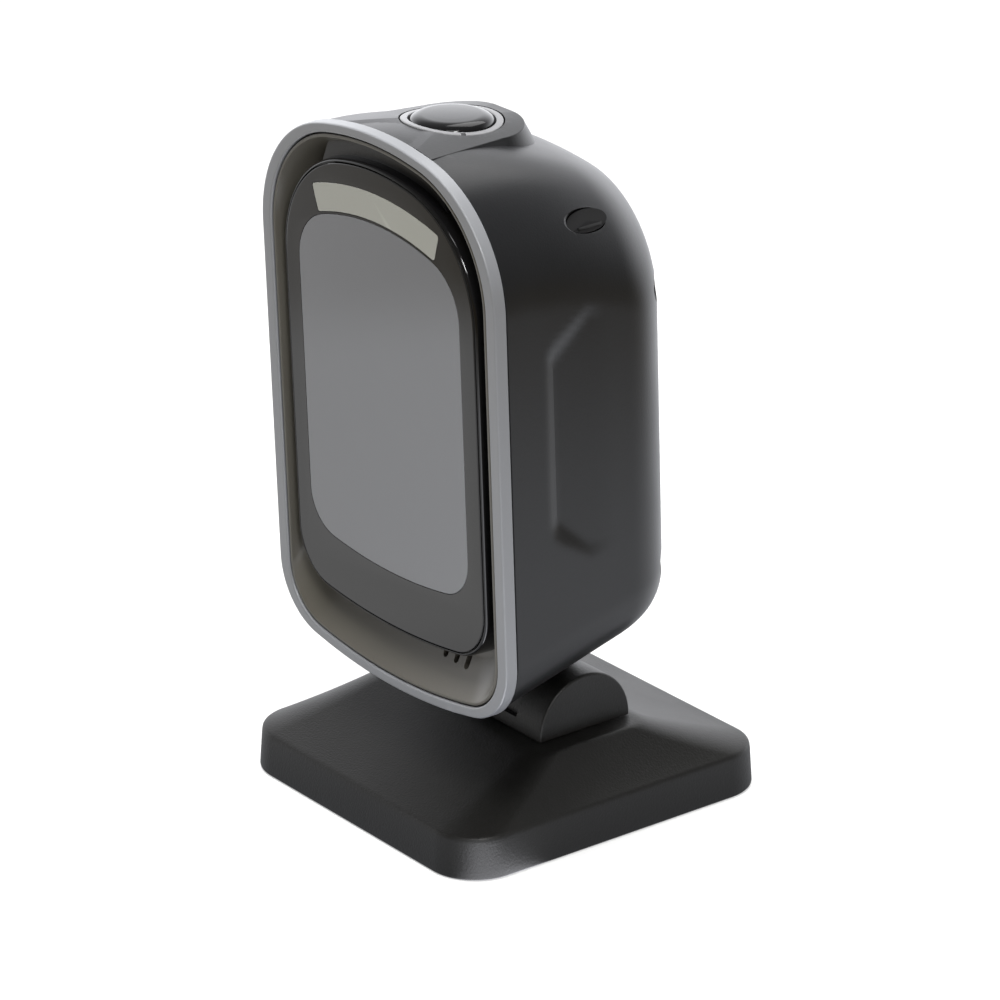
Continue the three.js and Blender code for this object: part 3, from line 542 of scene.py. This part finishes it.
def stand_skin(inset, bottom):
    """The stand's skin from its rim to its plateau, made smaller all round by inset."""
    def rim(tuck, z):
        less = tuck + inset
        return rounded_rectangle(BASE_HALF_X - less, BASE_HALF_Y - less, BASE_CORNER - less, 0, z)

    rings = [rim(0.35, bottom), rim(0.1, bottom + 0.25), rim(0, bottom + 0.6)]
    rings += [rim(0.1 * i, bottom + 0.6 + (RIM_TOP - 2.2 - bottom) * i / 5) for i in range(1, 6)]
    rings += [rim(tuck, RIM_TOP - drop - inset) for tuck, drop in ((0.56, 1.0), (0.66, 0.5), (0.86, 0.12))]
    for i in range(40):
        share = 0.012 + 1.07 * i / 39
        rings.append(slope_ring(share, slope_height(share) - inset, inset))
    return loft(rings)


def foot_places():
    return [(sx * FOOT_X, sy * FOOT_Y, f"{'front' if sy < 0 else 'rear'}_{'left' if sx < 0 else 'right'}")
            for sx in (1, -1) for sy in (1, -1)]


def build_stand():
    corners = [(x, y) for x in (BASE_BOSS, -BASE_BOSS) for y in (BASE_BOSS, -BASE_BOSS)]
    bosses = [shifted(rod(3.4, 3.4, 10.9, 32), x, y) for x, y in corners]
    holes = [shifted(rod(1.8, 2, 9, 24), x, y) for x, y in corners]
    neck_opening = box(-16.4, 16.4, HINGE.y - 11.2, HINGE.y + 11.2, 10, 20)
    shaft_opening = box(-23.9, 23.9, HINGE.y - 2.9, HINGE.y + 2.9, 10, 20)
    shell = cut(stand_skin(0, SKIN_BOTTOM), stand_skin(WALL, -1))
    shell = cut(join(shell, *bosses), *holes, neck_opening, shaft_opening)
    piece("stand_shell", shell, STAND, "base", ["base_cover"], stand_plastic, sharp=28)

    foot = [(0, 0), (4.55, 0), (5, 0.35), (5, 0.9), (0, 0.9)]
    for x, y, corner in foot_places():
        mesh = shifted(lathe(rounded(foot, 0.2)), x, y)
        piece(f"foot_pad_{corner}", mesh, STAND, "base", [f"rubber_foot_{corner}"], rubber)


# ---------------------------------------------------------------- hinge


def half_drum(foot, steps=64):
    """A half-round slab about the X axis that stands on a straight foot. Its end edges are rounded."""
    def outline(inset):
        radius = DRUM_RADIUS - inset
        turn = [math.radians(180 * i / steps) for i in range(steps + 1)]
        points = [(radius * math.cos(a), radius * math.sin(a)) for a in turn]
        return points + [(-radius, foot), (radius, foot)]

    rings = []
    for side in (-1, 1):
        rows = []
        for i in range(7):
            angle = math.radians(90 * i / 6)
            inset, short = DRUM_EDGE * (1 - math.sin(angle)), DRUM_EDGE * (1 - math.cos(angle))
            rows.append((inset, DRUM_HALF_WIDTH - short))
        rows = rows if side < 0 else rows[::-1]
        rings += [[Vector((side * x, y, z)) for y, z in outline(inset)] for inset, x in rows]
    return loft(rings)


def sector(inner, outer, start, end, half_width, steps=64):
    """A part of a tube about the X axis, between two angles in degrees."""
    def arc(radius, a, b):
        turn = [math.radians(a + (b - a) * i / steps) for i in range(steps + 1)]
        return [(radius * math.cos(t), radius * math.sin(t)) for t in turn]

    outline = arc(outer, start, end) + arc(inner, end, start)
    return prism_x(outline, -half_width, half_width)


def prism_x(outline, x0, x1):
    mesh = bmesh.new()
    rows = [[mesh.verts.new((x, y, z)) for y, z in outline] for x in (x0, x1)]
    count = len(outline)
    for j in range(count):
        k = (j + 1) % count
        mesh.faces.new((rows[0][j], rows[0][k], rows[1][k], rows[1][j]))
    mesh.faces.new(rows[0])
    mesh.faces.new(rows[1])
    bmesh.ops.triangulate(mesh, faces=[f for f in mesh.faces if len(f.verts) > 4])
    return mesh


def on_floor(mesh, place):
    """Lays a form on the head's sloping floor at a place."""
    return moved(mesh, Matrix.Translation(place) @ Matrix.Rotation(FLOOR_SLOPE, 4, "X"))


def build_hinge():
    slot = sector(0.01, 14.3, 12, 168, DRUM_SLOT_HALF_WIDTH)
    core = along_x(rod(10.9, -DRUM_SLOT_HALF_WIDTH, DRUM_SLOT_HALF_WIDTH))
    seat = along_x(rod(2.8, -23.6, 23.6, 32))
    channel = box(-23.6, 23.6, -2.8, 2.8, -3, 0)
    drum = cut(half_drum(-CLEARANCE), slot, core, seat, channel)
    piece("drum_body", drum, DRUM, "base", ["hinge_drum"], stand_plastic, sharp=40)

    hub = along_x(rod(6, -12.5, 12.5))
    shield = sector(9, 10.6, -8, 188, 15.6)
    web = sector(5, 9.5, 35, 145, 12)
    tongue = box(-12, 12, -6.5, 7.5, 9.5, 24.2)
    flange = on_floor(box(-19, 19, -12, 12, -0.9, 1.1), (0, 0, FLANGE_MIDDLE))
    bore = along_x(rod(3.9, -14, 14, 48))
    neck = cut(join(hub, shield, web, tongue, flange), bore)
    piece("neck_casting", neck, HEAD, "head", ["neck"], stand_plastic)


# ---------------------------------------------------------------- housing


def housing_outline(y, turn, inset):
    """The housing's outline at depth y, which closes in as the wall turns towards the rear."""
    run = y - HOUSING_FRONT
    closing = 1 - math.cos(turn)
    sizes = outline_sizes(
        40.2 - 25.1 * closing,
        73.9 - 0.0065 * run - 0.006 * run * run - 4.2 * closing,
        -50.3 + math.tan(FLOOR_SLOPE) * run + 0.5 * closing,
        82, 28 - 11.9 * closing, 137, 15.5 - 4 * closing,
    )
    return grow(sizes, -inset)


def housing_rings(inset, ys, turns, shares):
    """Rings of the housing: straight ones at the depths ys, then turned ones, then the closed rear."""
    rings = [head_ring(housing_outline(y, 0, inset), y) for y in ys]
    for degrees in turns:
        turn = math.radians(degrees)
        y = HOUSING_REAR_START + (HOUSING_REAR_DEPTH - inset) * math.sin(turn)
        rings.append(head_ring(housing_outline(y, turn, inset), y))
    rear = rings[-1]
    middle = sum(rear, Vector()) / len(rear)
    for share in shares:
        ring = [middle.lerp(p, share) for p in rear]
        for p in ring:
            p.y += REAR_BULGE * (1 - share * share)
        rings.append(ring)
    return rings


def distance_to_grip(y, z):
    """How far a point of the side wall is outside the grip recess's floor; 0 inside it."""
    inside = True
    nearest = 1e9
    for i, start in enumerate(GRIP):
        a, b = Vector(start), Vector(GRIP[(i + 1) % len(GRIP)])
        edge, p = b - a, Vector((y, z)) - a
        share = max(0.0, min(1.0, p.dot(edge) / edge.length_squared))
        nearest = min(nearest, (p - edge * share).length)
        if edge.cross(p) > 0:
            inside = False
    return 0.0 if inside else nearest


def sink_grips(rings):
    """Presses the shallow grip recesses into the side walls."""
    for ring in rings:
        for p in ring:
            if abs(p.x) > 30 and -24 < p.y < 24 and 44 < p.z < 110:
                rise = GRIP_RISE * (p.y - GRIP[0][0])
                depth = GRIP_FLOOR + max(0, rise) + distance_to_grip(p.y, p.z) / GRIP_BANK
                side = math.copysign(1, p.x)
                p.x = side * soft_lower(abs(p.x), depth, 0.25)


def pod_outline(spread, depth):
    """The pod's outline from above, in its upright frame, spread out and at a depth below its arched top."""
    corner_x, corner_y = POD_HALF_WIDTH - POD_CORNER, POD_Y + POD_REAR - POD_CORNER
    radius = POD_CORNER + spread
    turn = [math.radians(90 * i / 20) for i in range(21)]
    right = [(corner_x + radius * math.cos(a), corner_y + radius * math.sin(a)) for a in turn]
    sides = [(POD_HALF_WIDTH + POD_TAPER * run + spread, corner_y - run) for run in range(30, 0, -2)]
    right = sides + right
    outline = right + [(-x, y) for x, y in right[::-1]]
    return [Vector((x, y, pod_top(x, y) - depth)) for x, y in outline]


def pod_top(x, y):
    """Height of the pod's arched top, in its upright frame."""
    return POD_TOP - x * x / (2 * POD_ARCH) - POD_FALL * (y - POD_Y)


def pod_solid():
    foot = pod_outline(POD_FLARE * 10, 10)
    easing = ((0, 0.3), (0.03, 0.17), (0.1, 0.06), (0.22, 0))
    edge = [pod_outline(POD_FLARE * 1.15 - tuck, depth) for tuck, depth in easing]
    rings = [foot] + edge
    middle = Vector((0, POD_Y, 0))
    for share in (0.9, 0.75, 0.6, 0.45, 0.3, 0.15, 0.04):
        spots = [middle + (p - middle) * share for p in edge[-1]]
        rings.append([Vector((p.x, p.y, pod_top(p.x, p.y))) for p in spots])
    return overlap(in_pod(loft(rings)), box(-30, 30, HOUSING_FRONT, 20, 100, 150))


def in_pod(mesh):
    """From the pod's upright frame to the head's frame."""
    return moved(mesh, Matrix.Rotation(-HEAD_LEAN, 4, "X"))


def on_shoulder(mesh, side):
    """Places a form made about Z square to the head's shoulder; side is 1 on the right and -1 on the left."""
    turn = Matrix.Rotation(side * SHOULDER_TILT, 4, "Y")
    return moved(mesh, Matrix.Translation((side * SHOULDER.x, SHOULDER.y, SHOULDER.z)) @ turn)


def ellipse(across, along, z0, z1):
    return moved(rod(1, z0, z1, 64), Matrix.Diagonal((across, along, 1, 1)))


def oval_hole():
    """A cutter for the shoulder's oval hole, with a soft flared mouth."""
    rows = [
        (2.8, 5.35, -8), (2.8, 5.35, -0.8), (2.9, 5.45, -0.4),
        (3.2, 5.8, 0.05), (3.9, 6.5, 0.5), (4.3, 7.1, 5),
    ]
    rings = []
    for across, along, z in rows:
        turn = [2 * math.pi * i / 72 for i in range(72)]
        rings.append([Vector((across * math.cos(a), along * math.sin(a), z)) for a in turn])
    return loft(rings)


def neck_screws():
    return [(x, 0.5, FLANGE_MIDDLE + 0.5 * math.tan(FLOOR_SLOPE)) for x in (15.6, -15.6)]


def at_wells(radius, y0, y1, steps):
    """Rods along Y in the four screw wells."""
    return [shifted(along_y(rod(radius, y0, y1, steps)), x, 0, z) for x, z in SCREW_WELLS]


def build_housing():
    ys = [HOUSING_FRONT + 0.12, HOUSING_FRONT + 0.35] + [HOUSING_FRONT + 0.8 * i for i in range(1, 39)]
    turns = [3 * i for i in range(31)]
    shares = [0.9, 0.75, 0.6, 0.45, 0.3, 0.15]
    outer = housing_rings(0, ys, turns, shares)
    lip = head_ring(grow(housing_outline(HOUSING_FRONT, 0, 0), -0.18), HOUSING_FRONT)
    outer.insert(0, lip)
    sink_grips(outer)
    coarse_turns = [10 * i for i in range(10)]
    inner = housing_rings(WALL, [HOUSING_FRONT, -20, -10, -4], coarse_turns, [0.6, 0.04])
    shell = loft(inner[::-1] + outer)
    wells = []
    for well in at_wells(4.3, -18, 30, 40):
        within = loft(housing_rings(0.3, [HOUSING_FRONT, -4], coarse_turns, [0.6, 0.04]))
        wells.append(overlap(well, within))
    shell = join(shell, pod_solid(), *wells)
    pocket = in_pod(shifted(rod(12.4, POD_TOP - 16, POD_TOP - WALL), y=POD_Y))
    hole = in_pod(shifted(rod(BUTTON_HOLE, POD_TOP - 4, POD_TOP + 2, 128), y=POD_Y))
    bores = at_wells(3.1, -14, 30, 48)
    shanks = at_wells(1.7, -20, 0, 24)
    ovals = [on_shoulder(oval_hole(), side) for side in (1, -1)]
    socket_hole = box(-7.5, 7.5, 12, 30, 32.7, 45.5)
    neck_hole = box(-12.4, 12.4, -6.9, 7.9, 5, 40)
    screw_holes = [on_floor(rod(1.8, -8, 3, 24), place) for place in neck_screws()]
    shell = cut(shell, pocket, hole, *bores, *shanks, *ovals, socket_hole, neck_hole, *screw_holes)
    piece("head_housing", shell, HEAD, "head", ["housing_shell"], housing_plastic, sharp=14)


# ---------------------------------------------------------------- front of the head


def build_front():
    ring = section([
        (RING_OUTER, RING_FRONT, 0.55),
        (grow(RING_OUTER, 0.1), RING_BACK, 0.25),
        (grow(RING_INNER, 0.1), RING_BACK, 0.1),
        (RING_INNER, RING_FRONT, 0.6),
    ], steps=6)
    piece("frame_ring", ring_loft(ring), HEAD, "head", ["front_ring"], ring_plastic)

    lip = grow(RING_INNER, -CLEARANCE)
    floor_back = RECESS_FLOOR + 1.6
    inside_front = housing_outline(RECESS_FLOOR, 0, WALL + CLEARANCE)
    inside_back = housing_outline(HOUSING_FRONT + CLEARANCE, 0, WALL + CLEARANCE)
    start, end = grow(lip, -0.7), grow(PLINTH, 0.6)
    slope = []
    for t in [i / 10 for i in range(11)]:
        sunk = t + 0.35 * t * (1 - t)
        slope.append((between(start, end, t), RING_FRONT + 0.4 + (RECESS_FLOOR - RING_FRONT - 0.4) * sunk))
    funnel = slope + [
        (OPENING, RECESS_FLOOR), (OPENING, floor_back), (grow(PLINTH, 0.6), floor_back),
        (inside_front, RECESS_FLOOR), (inside_back, HOUSING_FRONT + CLEARANCE),
        (lip, HOUSING_FRONT - 2 * CLEARANCE), (lip, RING_FRONT + 0.55),
        (grow(lip, -0.08), RING_FRONT + 0.43), (grow(lip, -0.2), RING_FRONT + 0.38),
        (grow(lip, -0.5), RING_FRONT + 0.36),
    ]
    funnel = ring_loft(funnel)
    slots = []
    for x in (12.7, 16.6, 20.5):
        turn = [math.radians(180 * i / 12) for i in range(13)]
        outline = [(x + 0.8 * math.cos(a), 24.2 + 0.8 * math.sin(a)) for a in turn]
        outline += [(x - 0.8 * math.cos(a), 22.1 - 0.8 * math.sin(a)) for a in turn]
        rings = [[Vector((px, y, pz)) for px, pz in outline] for y in (-35, -22)]
        slots.append(loft(rings))
    bosses = at_wells(3.6, RECESS_FLOOR + 0.8, -18.3, 40)
    pilots = at_wells(1.7, floor_back, -10, 24)
    funnel = cut(join(funnel, *bosses), *pilots, *slots)
    piece("front_recess", funnel, HEAD, "head", ["recess_bezel"], recess_plastic, sharp=35)

    plinth = section([
        (PLINTH, RECESS_FLOOR - CLEARANCE, 0.0),
        (grow(PLINTH, -0.4), -31.6, 0.7),
        (grow(PANEL, 0.55), -32.05, 0.2),
        (grow(PANEL, CLEARANCE), -32.05, 0.12),
        (grow(PANEL, CLEARANCE), -29.7, 0.0),
        (OPENING, -29.7, 0.0),
        (OPENING, RECESS_FLOOR - CLEARANCE, 0.0),
    ])
    piece("panel_surround", ring_loft(plinth), HEAD, "head", ["window_plinth"], gloss_black)

    mask = cut(
        panel_slab(head_outline(PANEL), 0.25),
        panel_slab(head_outline(WINDOW), 0, extra=1),
        panel_slab(strip_points(0), 0, extra=1),
    )
    piece("panel_mask", mask, HEAD, "head", ["window_mask"], panel_black, sharp=5)
    window = panel_slab(head_outline(grow(WINDOW, -0.12)), 0.1)
    piece("scan_window", window, HEAD, "head", ["clear_window"], window_glass, sharp=5)
    strip = panel_slab(strip_points(0.12), 0.1)
    piece("status_light", strip, HEAD, "head", ["light_strip"], diffuser, sharp=5)


def strip_points(inset, steps=24):
    """The light strip: a band that follows the window's top edge, with ends square to it."""
    centre = WINDOW["top"] - STRIP_INNER
    inner = STRIP_INNER + STRIP_GAP + inset
    outer = STRIP_INNER + STRIP_GAP + STRIP_HEIGHT - inset
    reach = math.asin(STRIP_HALF_LENGTH / STRIP_INNER) - inset / STRIP_INNER

    def band(radius, start, end):
        turn = [start + (end - start) * i / steps for i in range(steps + 1)]
        return [(radius * math.sin(a), centre + radius * math.cos(a)) for a in turn]

    corner = 0.9 - inset
    ends = (0, steps, steps + 1, 2 * steps + 1)
    points = band(outer, -reach, reach) + band(inner, reach, -reach)
    return rounded([(x, v, corner if i in ends else 0) for i, (x, v) in enumerate(points)], 0, closed=True)


def panel_slab(points, edge, extra=0.0):
    """Extrudes an outline of (x, v) points through the panel. The front edge is eased by edge."""
    mesh = bmesh.new()
    rows = []
    front, back = PANEL_FACE - extra, PANEL_BACK + extra
    for y in (front, back):
        rows.append([mesh.verts.new((x, y, WINDOW_MIDDLE + v)) for x, v in points])
    count = len(points)
    for j in range(count):
        k = (j + 1) % count
        mesh.faces.new((rows[0][j], rows[0][k], rows[1][k], rows[1][j]))
    face = mesh.faces.new(rows[0])
    mesh.faces.new(rows[1])
    bmesh.ops.recalc_face_normals(mesh, faces=mesh.faces)
    if edge:
        bmesh.ops.bevel(mesh, geom=list(face.edges), offset=edge, segments=3, profile=0.5, affect="EDGES")
    return mesh


# ---------------------------------------------------------------- button and shoulder


def build_button():
    top = POD_TOP
    bezel = rounded([
        (BUTTON_RADIUS + 0.35, top - 4.4, 0), (11.2, top - 4.4, 0), (11.2, top - 12.9, 0),
        (12.1, top - 12.9, 0), (12.1, top - WALL - CLEARANCE, 0),
        (BUTTON_HOLE - CLEARANCE, top - WALL - CLEARANCE, 0),
        (BUTTON_HOLE - CLEARANCE, top, 0.3), (BUTTON_RADIUS + 0.35, top, 0.3),
    ], 0.2, closed=True)
    notch = box(BUTTON_RADIUS + 0.9, 12, -0.5, 0.5, top - 0.6, top + 1)
    notch = moved(notch, Matrix.Rotation(-NOTCH_TURN, 4, "Z"))
    ring = cut(lathe(bezel, 128), notch)
    for vert in ring.verts:
        if vert.co.z > top - 0.8:
            vert.co.z += pod_top(vert.co.x, vert.co.y + POD_Y) - top
    piece("button_surround", shifted(ring, y=POD_Y), POD, "head", ["button_bezel"], button_ring)

    crown = top + BUTTON_RISE
    shelf = top - 4.7
    cap = [(0, shelf - 3.6), (1.5, shelf - 3.6), (1.5, shelf - 1.4), (10.8, shelf - 1.4), (10.8, shelf)]
    cap += [(BUTTON_RADIUS, shelf), (BUTTON_RADIUS, crown - 1.9)]
    for i in range(13):
        angle = math.radians(90 * i / 12)
        cap.append((BUTTON_RADIUS - 3.1 * (1 - math.cos(angle)), crown - 1.7 + 1.56 * math.sin(angle)))
    cap += [(5, crown - 0.09), (3.5, crown - 0.045), (1.5, crown - 0.01), (0, crown)]
    piece("button_top", shifted(lathe(cap, 128), y=POD_Y), POD, "button", ["button_cap"], gloss_black)


def build_plugs():
    for side, hand in ((1, "right"), (-1, "left")):
        body = join(ellipse(2.5, 5.05, -5, -0.9), ellipse(3.3, 5.9, -6, -4.8))
        wedge = ((0.9, -1.4), (1.15, -0.35), (2.1, -1.4))
        rib = loft([[Vector((x, y, z)) for x, z in wedge] for y in (-3, 3)])
        plug = on_shoulder(join(body, rib), side)
        piece(f"oval_plug_{hand}", plug, HEAD, "head", [f"shoulder_plug_{hand}"], black_plastic)


# ---------------------------------------------------------------- carried-over CAD nodes

CAD_FINISH = {
    "black_plastic": black_plastic, "rubber": rubber, "steel": steel, "circuit_board": circuit_board,
    "brass": brass, "clear_optic": clear_optic, "nylon": nylon, "stand_plastic": stand_plastic,
    "housing_plastic": housing_plastic, "gloss_black": gloss_black, "ring_plastic": ring_plastic,
    "window_tint": window_glass, "diffuser": diffuser,
}


def finish_cad_nodes():
    for part in frame["record"]["subparts"]:
        node = frame["nodes"][part["node"]]
        node.data.materials.clear()
        node.data.materials.append(CAD_FINISH[part["material_slot"]])


# ---------------------------------------------------------------- studio


def area_light(name, place, target, size, power):
    data = bpy.data.lights.new(name, "AREA")
    data.shape = "RECTANGLE"
    data.size, data.size_y = size
    data.energy = power
    light = bpy.data.objects.new(name, data)
    light.location = place
    light.rotation_euler = (Vector(target) - Vector(place)).to_track_quat("-Z", "Y").to_euler()
    bpy.context.scene.collection.objects.link(light)
    return light


def ramp(nodes, links, source, low, high, start=0.0, end=1.0):
    """A smooth step of a value from start to end as it goes from low to high."""
    node = nodes.new("ShaderNodeMapRange")
    node.interpolation_type = "SMOOTHSTEP"
    for name, value in (("From Min", low), ("From Max", high), ("To Min", start), ("To Max", end)):
        node.inputs[name].default_value = value
    links.new(source, node.inputs["Value"])
    return node.outputs["Result"]


def facing(nodes, links, source, direction):
    node = nodes.new("ShaderNodeVectorMath")
    node.operation = "DOT_PRODUCT"
    node.inputs[1].default_value = direction
    links.new(source, node.inputs[0])
    return node.outputs["Value"]


def blend_tones(nodes, links, share, first, second):
    """Mixes two tones, each of which is a colour or another node's output."""
    node = nodes.new("ShaderNodeMix")
    node.data_type = "RGBA"
    for name, tone in (("A", first), ("B", second)):
        if isinstance(tone, tuple):
            node.inputs[name].default_value = tone + (1,)
        else:
            links.new(tone, node.inputs[name])
    links.new(share, node.inputs["Factor"])
    return node.outputs["Result"]


BEHIND = (-0.79, 0.61, 0)          # the level direction away from the camera
FRONT_LEFT = (-0.79, -0.61, 0)


def world_light():
    """Studio surroundings: a bright backdrop low behind the object, dim in front and overhead."""
    world = bpy.data.worlds.new("studio")
    bpy.context.scene.world = world
    world.use_nodes = True
    nodes, links = world.node_tree.nodes, world.node_tree.links
    where = nodes.new("ShaderNodeTexCoord").outputs["Generated"]
    split = nodes.new("ShaderNodeSeparateXYZ")
    links.new(where, split.inputs["Vector"])
    rear = ramp(nodes, links, facing(nodes, links, where, BEHIND), -0.1, 0.75)
    low = ramp(nodes, links, split.outputs["Z"], 0.12, 0.75, 1.0, 0.08)
    share = nodes.new("ShaderNodeMath")
    share.operation = "MULTIPLY"
    links.new(rear, share.inputs[0])
    links.new(low, share.inputs[1])
    surroundings = blend_tones(nodes, links, share.outputs["Value"], (0.16, 0.156, 0.146), (2.1, 2.12, 2.2))
    seen = nodes.new("ShaderNodeLightPath").outputs["Is Camera Ray"]
    links.new(blend_tones(nodes, links, seen, surroundings, (1, 1, 1)), nodes["Background"].inputs["Color"])


def build_floor():
    grid = bmesh.new()
    bmesh.ops.create_grid(grid, x_segments=1, y_segments=1, size=6)
    floor = to_object("floor", grid)
    material, nodes, links = new_material("floor_white")
    shader = nodes.new("ShaderNodeBsdfPrincipled")
    shader.inputs["Base Color"].default_value = (0.5, 0.5, 0.5, 1)
    shader.inputs["Roughness"].default_value = 1
    shader.inputs["Specular IOR Level"].default_value = 0
    shader.inputs["Emission Color"].default_value = (1, 1, 1, 1)
    shader.inputs["Emission Strength"].default_value = 0.42
    output = nodes.new("ShaderNodeOutputMaterial")
    links.new(shader.outputs["BSDF"], output.inputs["Surface"])
    floor.data.materials.append(material)
    floor.visible_glossy = False
    floor.visible_diffuse = False


def build_table_glow():
    """What surfaces see of the table, from a glowing card the camera never sees: painted shade close under
    the stand, bright nearby and behind, brightest in a narrow glowing patch in front of the stand's near
    corner, and far off in front dim and warm."""
    disc = bmesh.new()
    bmesh.ops.create_circle(disc, cap_ends=True, segments=64, radius=4)
    card = to_object("table_card", shifted(disc, z=-0.0005))
    material, nodes, links = new_material("table_glow")
    where = nodes.new("ShaderNodeTexCoord").outputs["Object"]
    aim = nodes.new("ShaderNodeVectorMath")
    aim.operation = "NORMALIZE"
    links.new(where, aim.inputs[0])
    toward = aim.outputs["Vector"]
    far = nodes.new("ShaderNodeVectorMath")
    far.operation = "LENGTH"
    links.new(where, far.inputs[0])
    left = ramp(nodes, links, facing(nodes, links, toward, FRONT_LEFT), 0.1, 0.9)
    rear = ramp(nodes, links, facing(nodes, links, toward, BEHIND), 0.0, 0.7)
    camera_side = ramp(nodes, links, facing(nodes, links, toward, BEHIND), -0.97, -0.998)
    near = blend_tones(nodes, links, left, (1.12, 1.14, 1.19), (1.0, 1.0, 1.0))
    near = blend_tones(nodes, links, camera_side, near, (3.0, 3.05, 3.2))
    # painted shade: the card glows darker close under the stand, in place of the stand's shadow on the table
    contact = ramp(nodes, links, far.outputs["Value"], 0.045, 0.12)
    shaded = blend_tones(nodes, links, camera_side, (0.5, 0.51, 0.54), (4.6, 4.65, 4.95))
    near = blend_tones(nodes, links, contact, shaded, near)
    distant = blend_tones(nodes, links, rear, (0.2, 0.16, 0.09), (1.5, 1.52, 1.58))
    fade = ramp(nodes, links, far.outputs["Value"], 0.265, 0.33)
    glow = nodes.new("ShaderNodeEmission")
    links.new(blend_tones(nodes, links, fade, near, distant), glow.inputs["Color"])
    output = nodes.new("ShaderNodeOutputMaterial")
    links.new(glow.outputs["Emission"], output.inputs["Surface"])
    card.data.materials.append(material)
    card.visible_camera = False
    card.visible_shadow = False


def build_studio():
    world_light()
    build_floor()
    build_table_glow()
    overhead = area_light("overhead", (0.0, -0.1, 1.05), (0, 0, 0.08), (0.7, 0.7), 18)
    overhead.visible_glossy = False
    area_light("rear_top", (-0.3, 0.5, 0.9), (0, 0, 0.08), (0.5, 0.5), 1.5)
    area_light("front_strip", (0.5, -0.35, 0.95), (0, 0, 0.12), (0.5, 0.1), 1.0)
    area_light("front_spot", (0.75, -0.75, 0.75), (0, 0, 0.12), (0.12, 0.12), 0.4)
    area_light("front_key", (0.676, -0.345, 0.6), (0, 0, 0.05), (0.15, 0.15), 3)
    bpy.context.scene.view_settings.view_transform = "Standard"


def build_camera():
    level = math.cos(CAMERA_ELEVATION)
    back = Vector((
        math.sin(CAMERA_AZIMUTH) * level, -math.cos(CAMERA_AZIMUTH) * level, math.sin(CAMERA_ELEVATION),
    ))
    data = bpy.data.cameras.new("camera")
    data.sensor_width = 36
    data.lens = CAMERA_LENS
    data.clip_start, data.clip_end = 0.05, 50
    camera = bpy.data.objects.new("camera", data)
    camera.location = CAMERA_TARGET + back * CAMERA_DISTANCE
    camera.rotation_euler = (-back).to_track_quat("-Z", "Y").to_euler()
    bpy.context.scene.collection.objects.link(camera)
    bpy.context.scene.camera = camera


build_camera()
build_stand()
build_hinge()
build_housing()
build_front()
build_button()
build_plugs()
finish_cad_nodes()
build_studio()
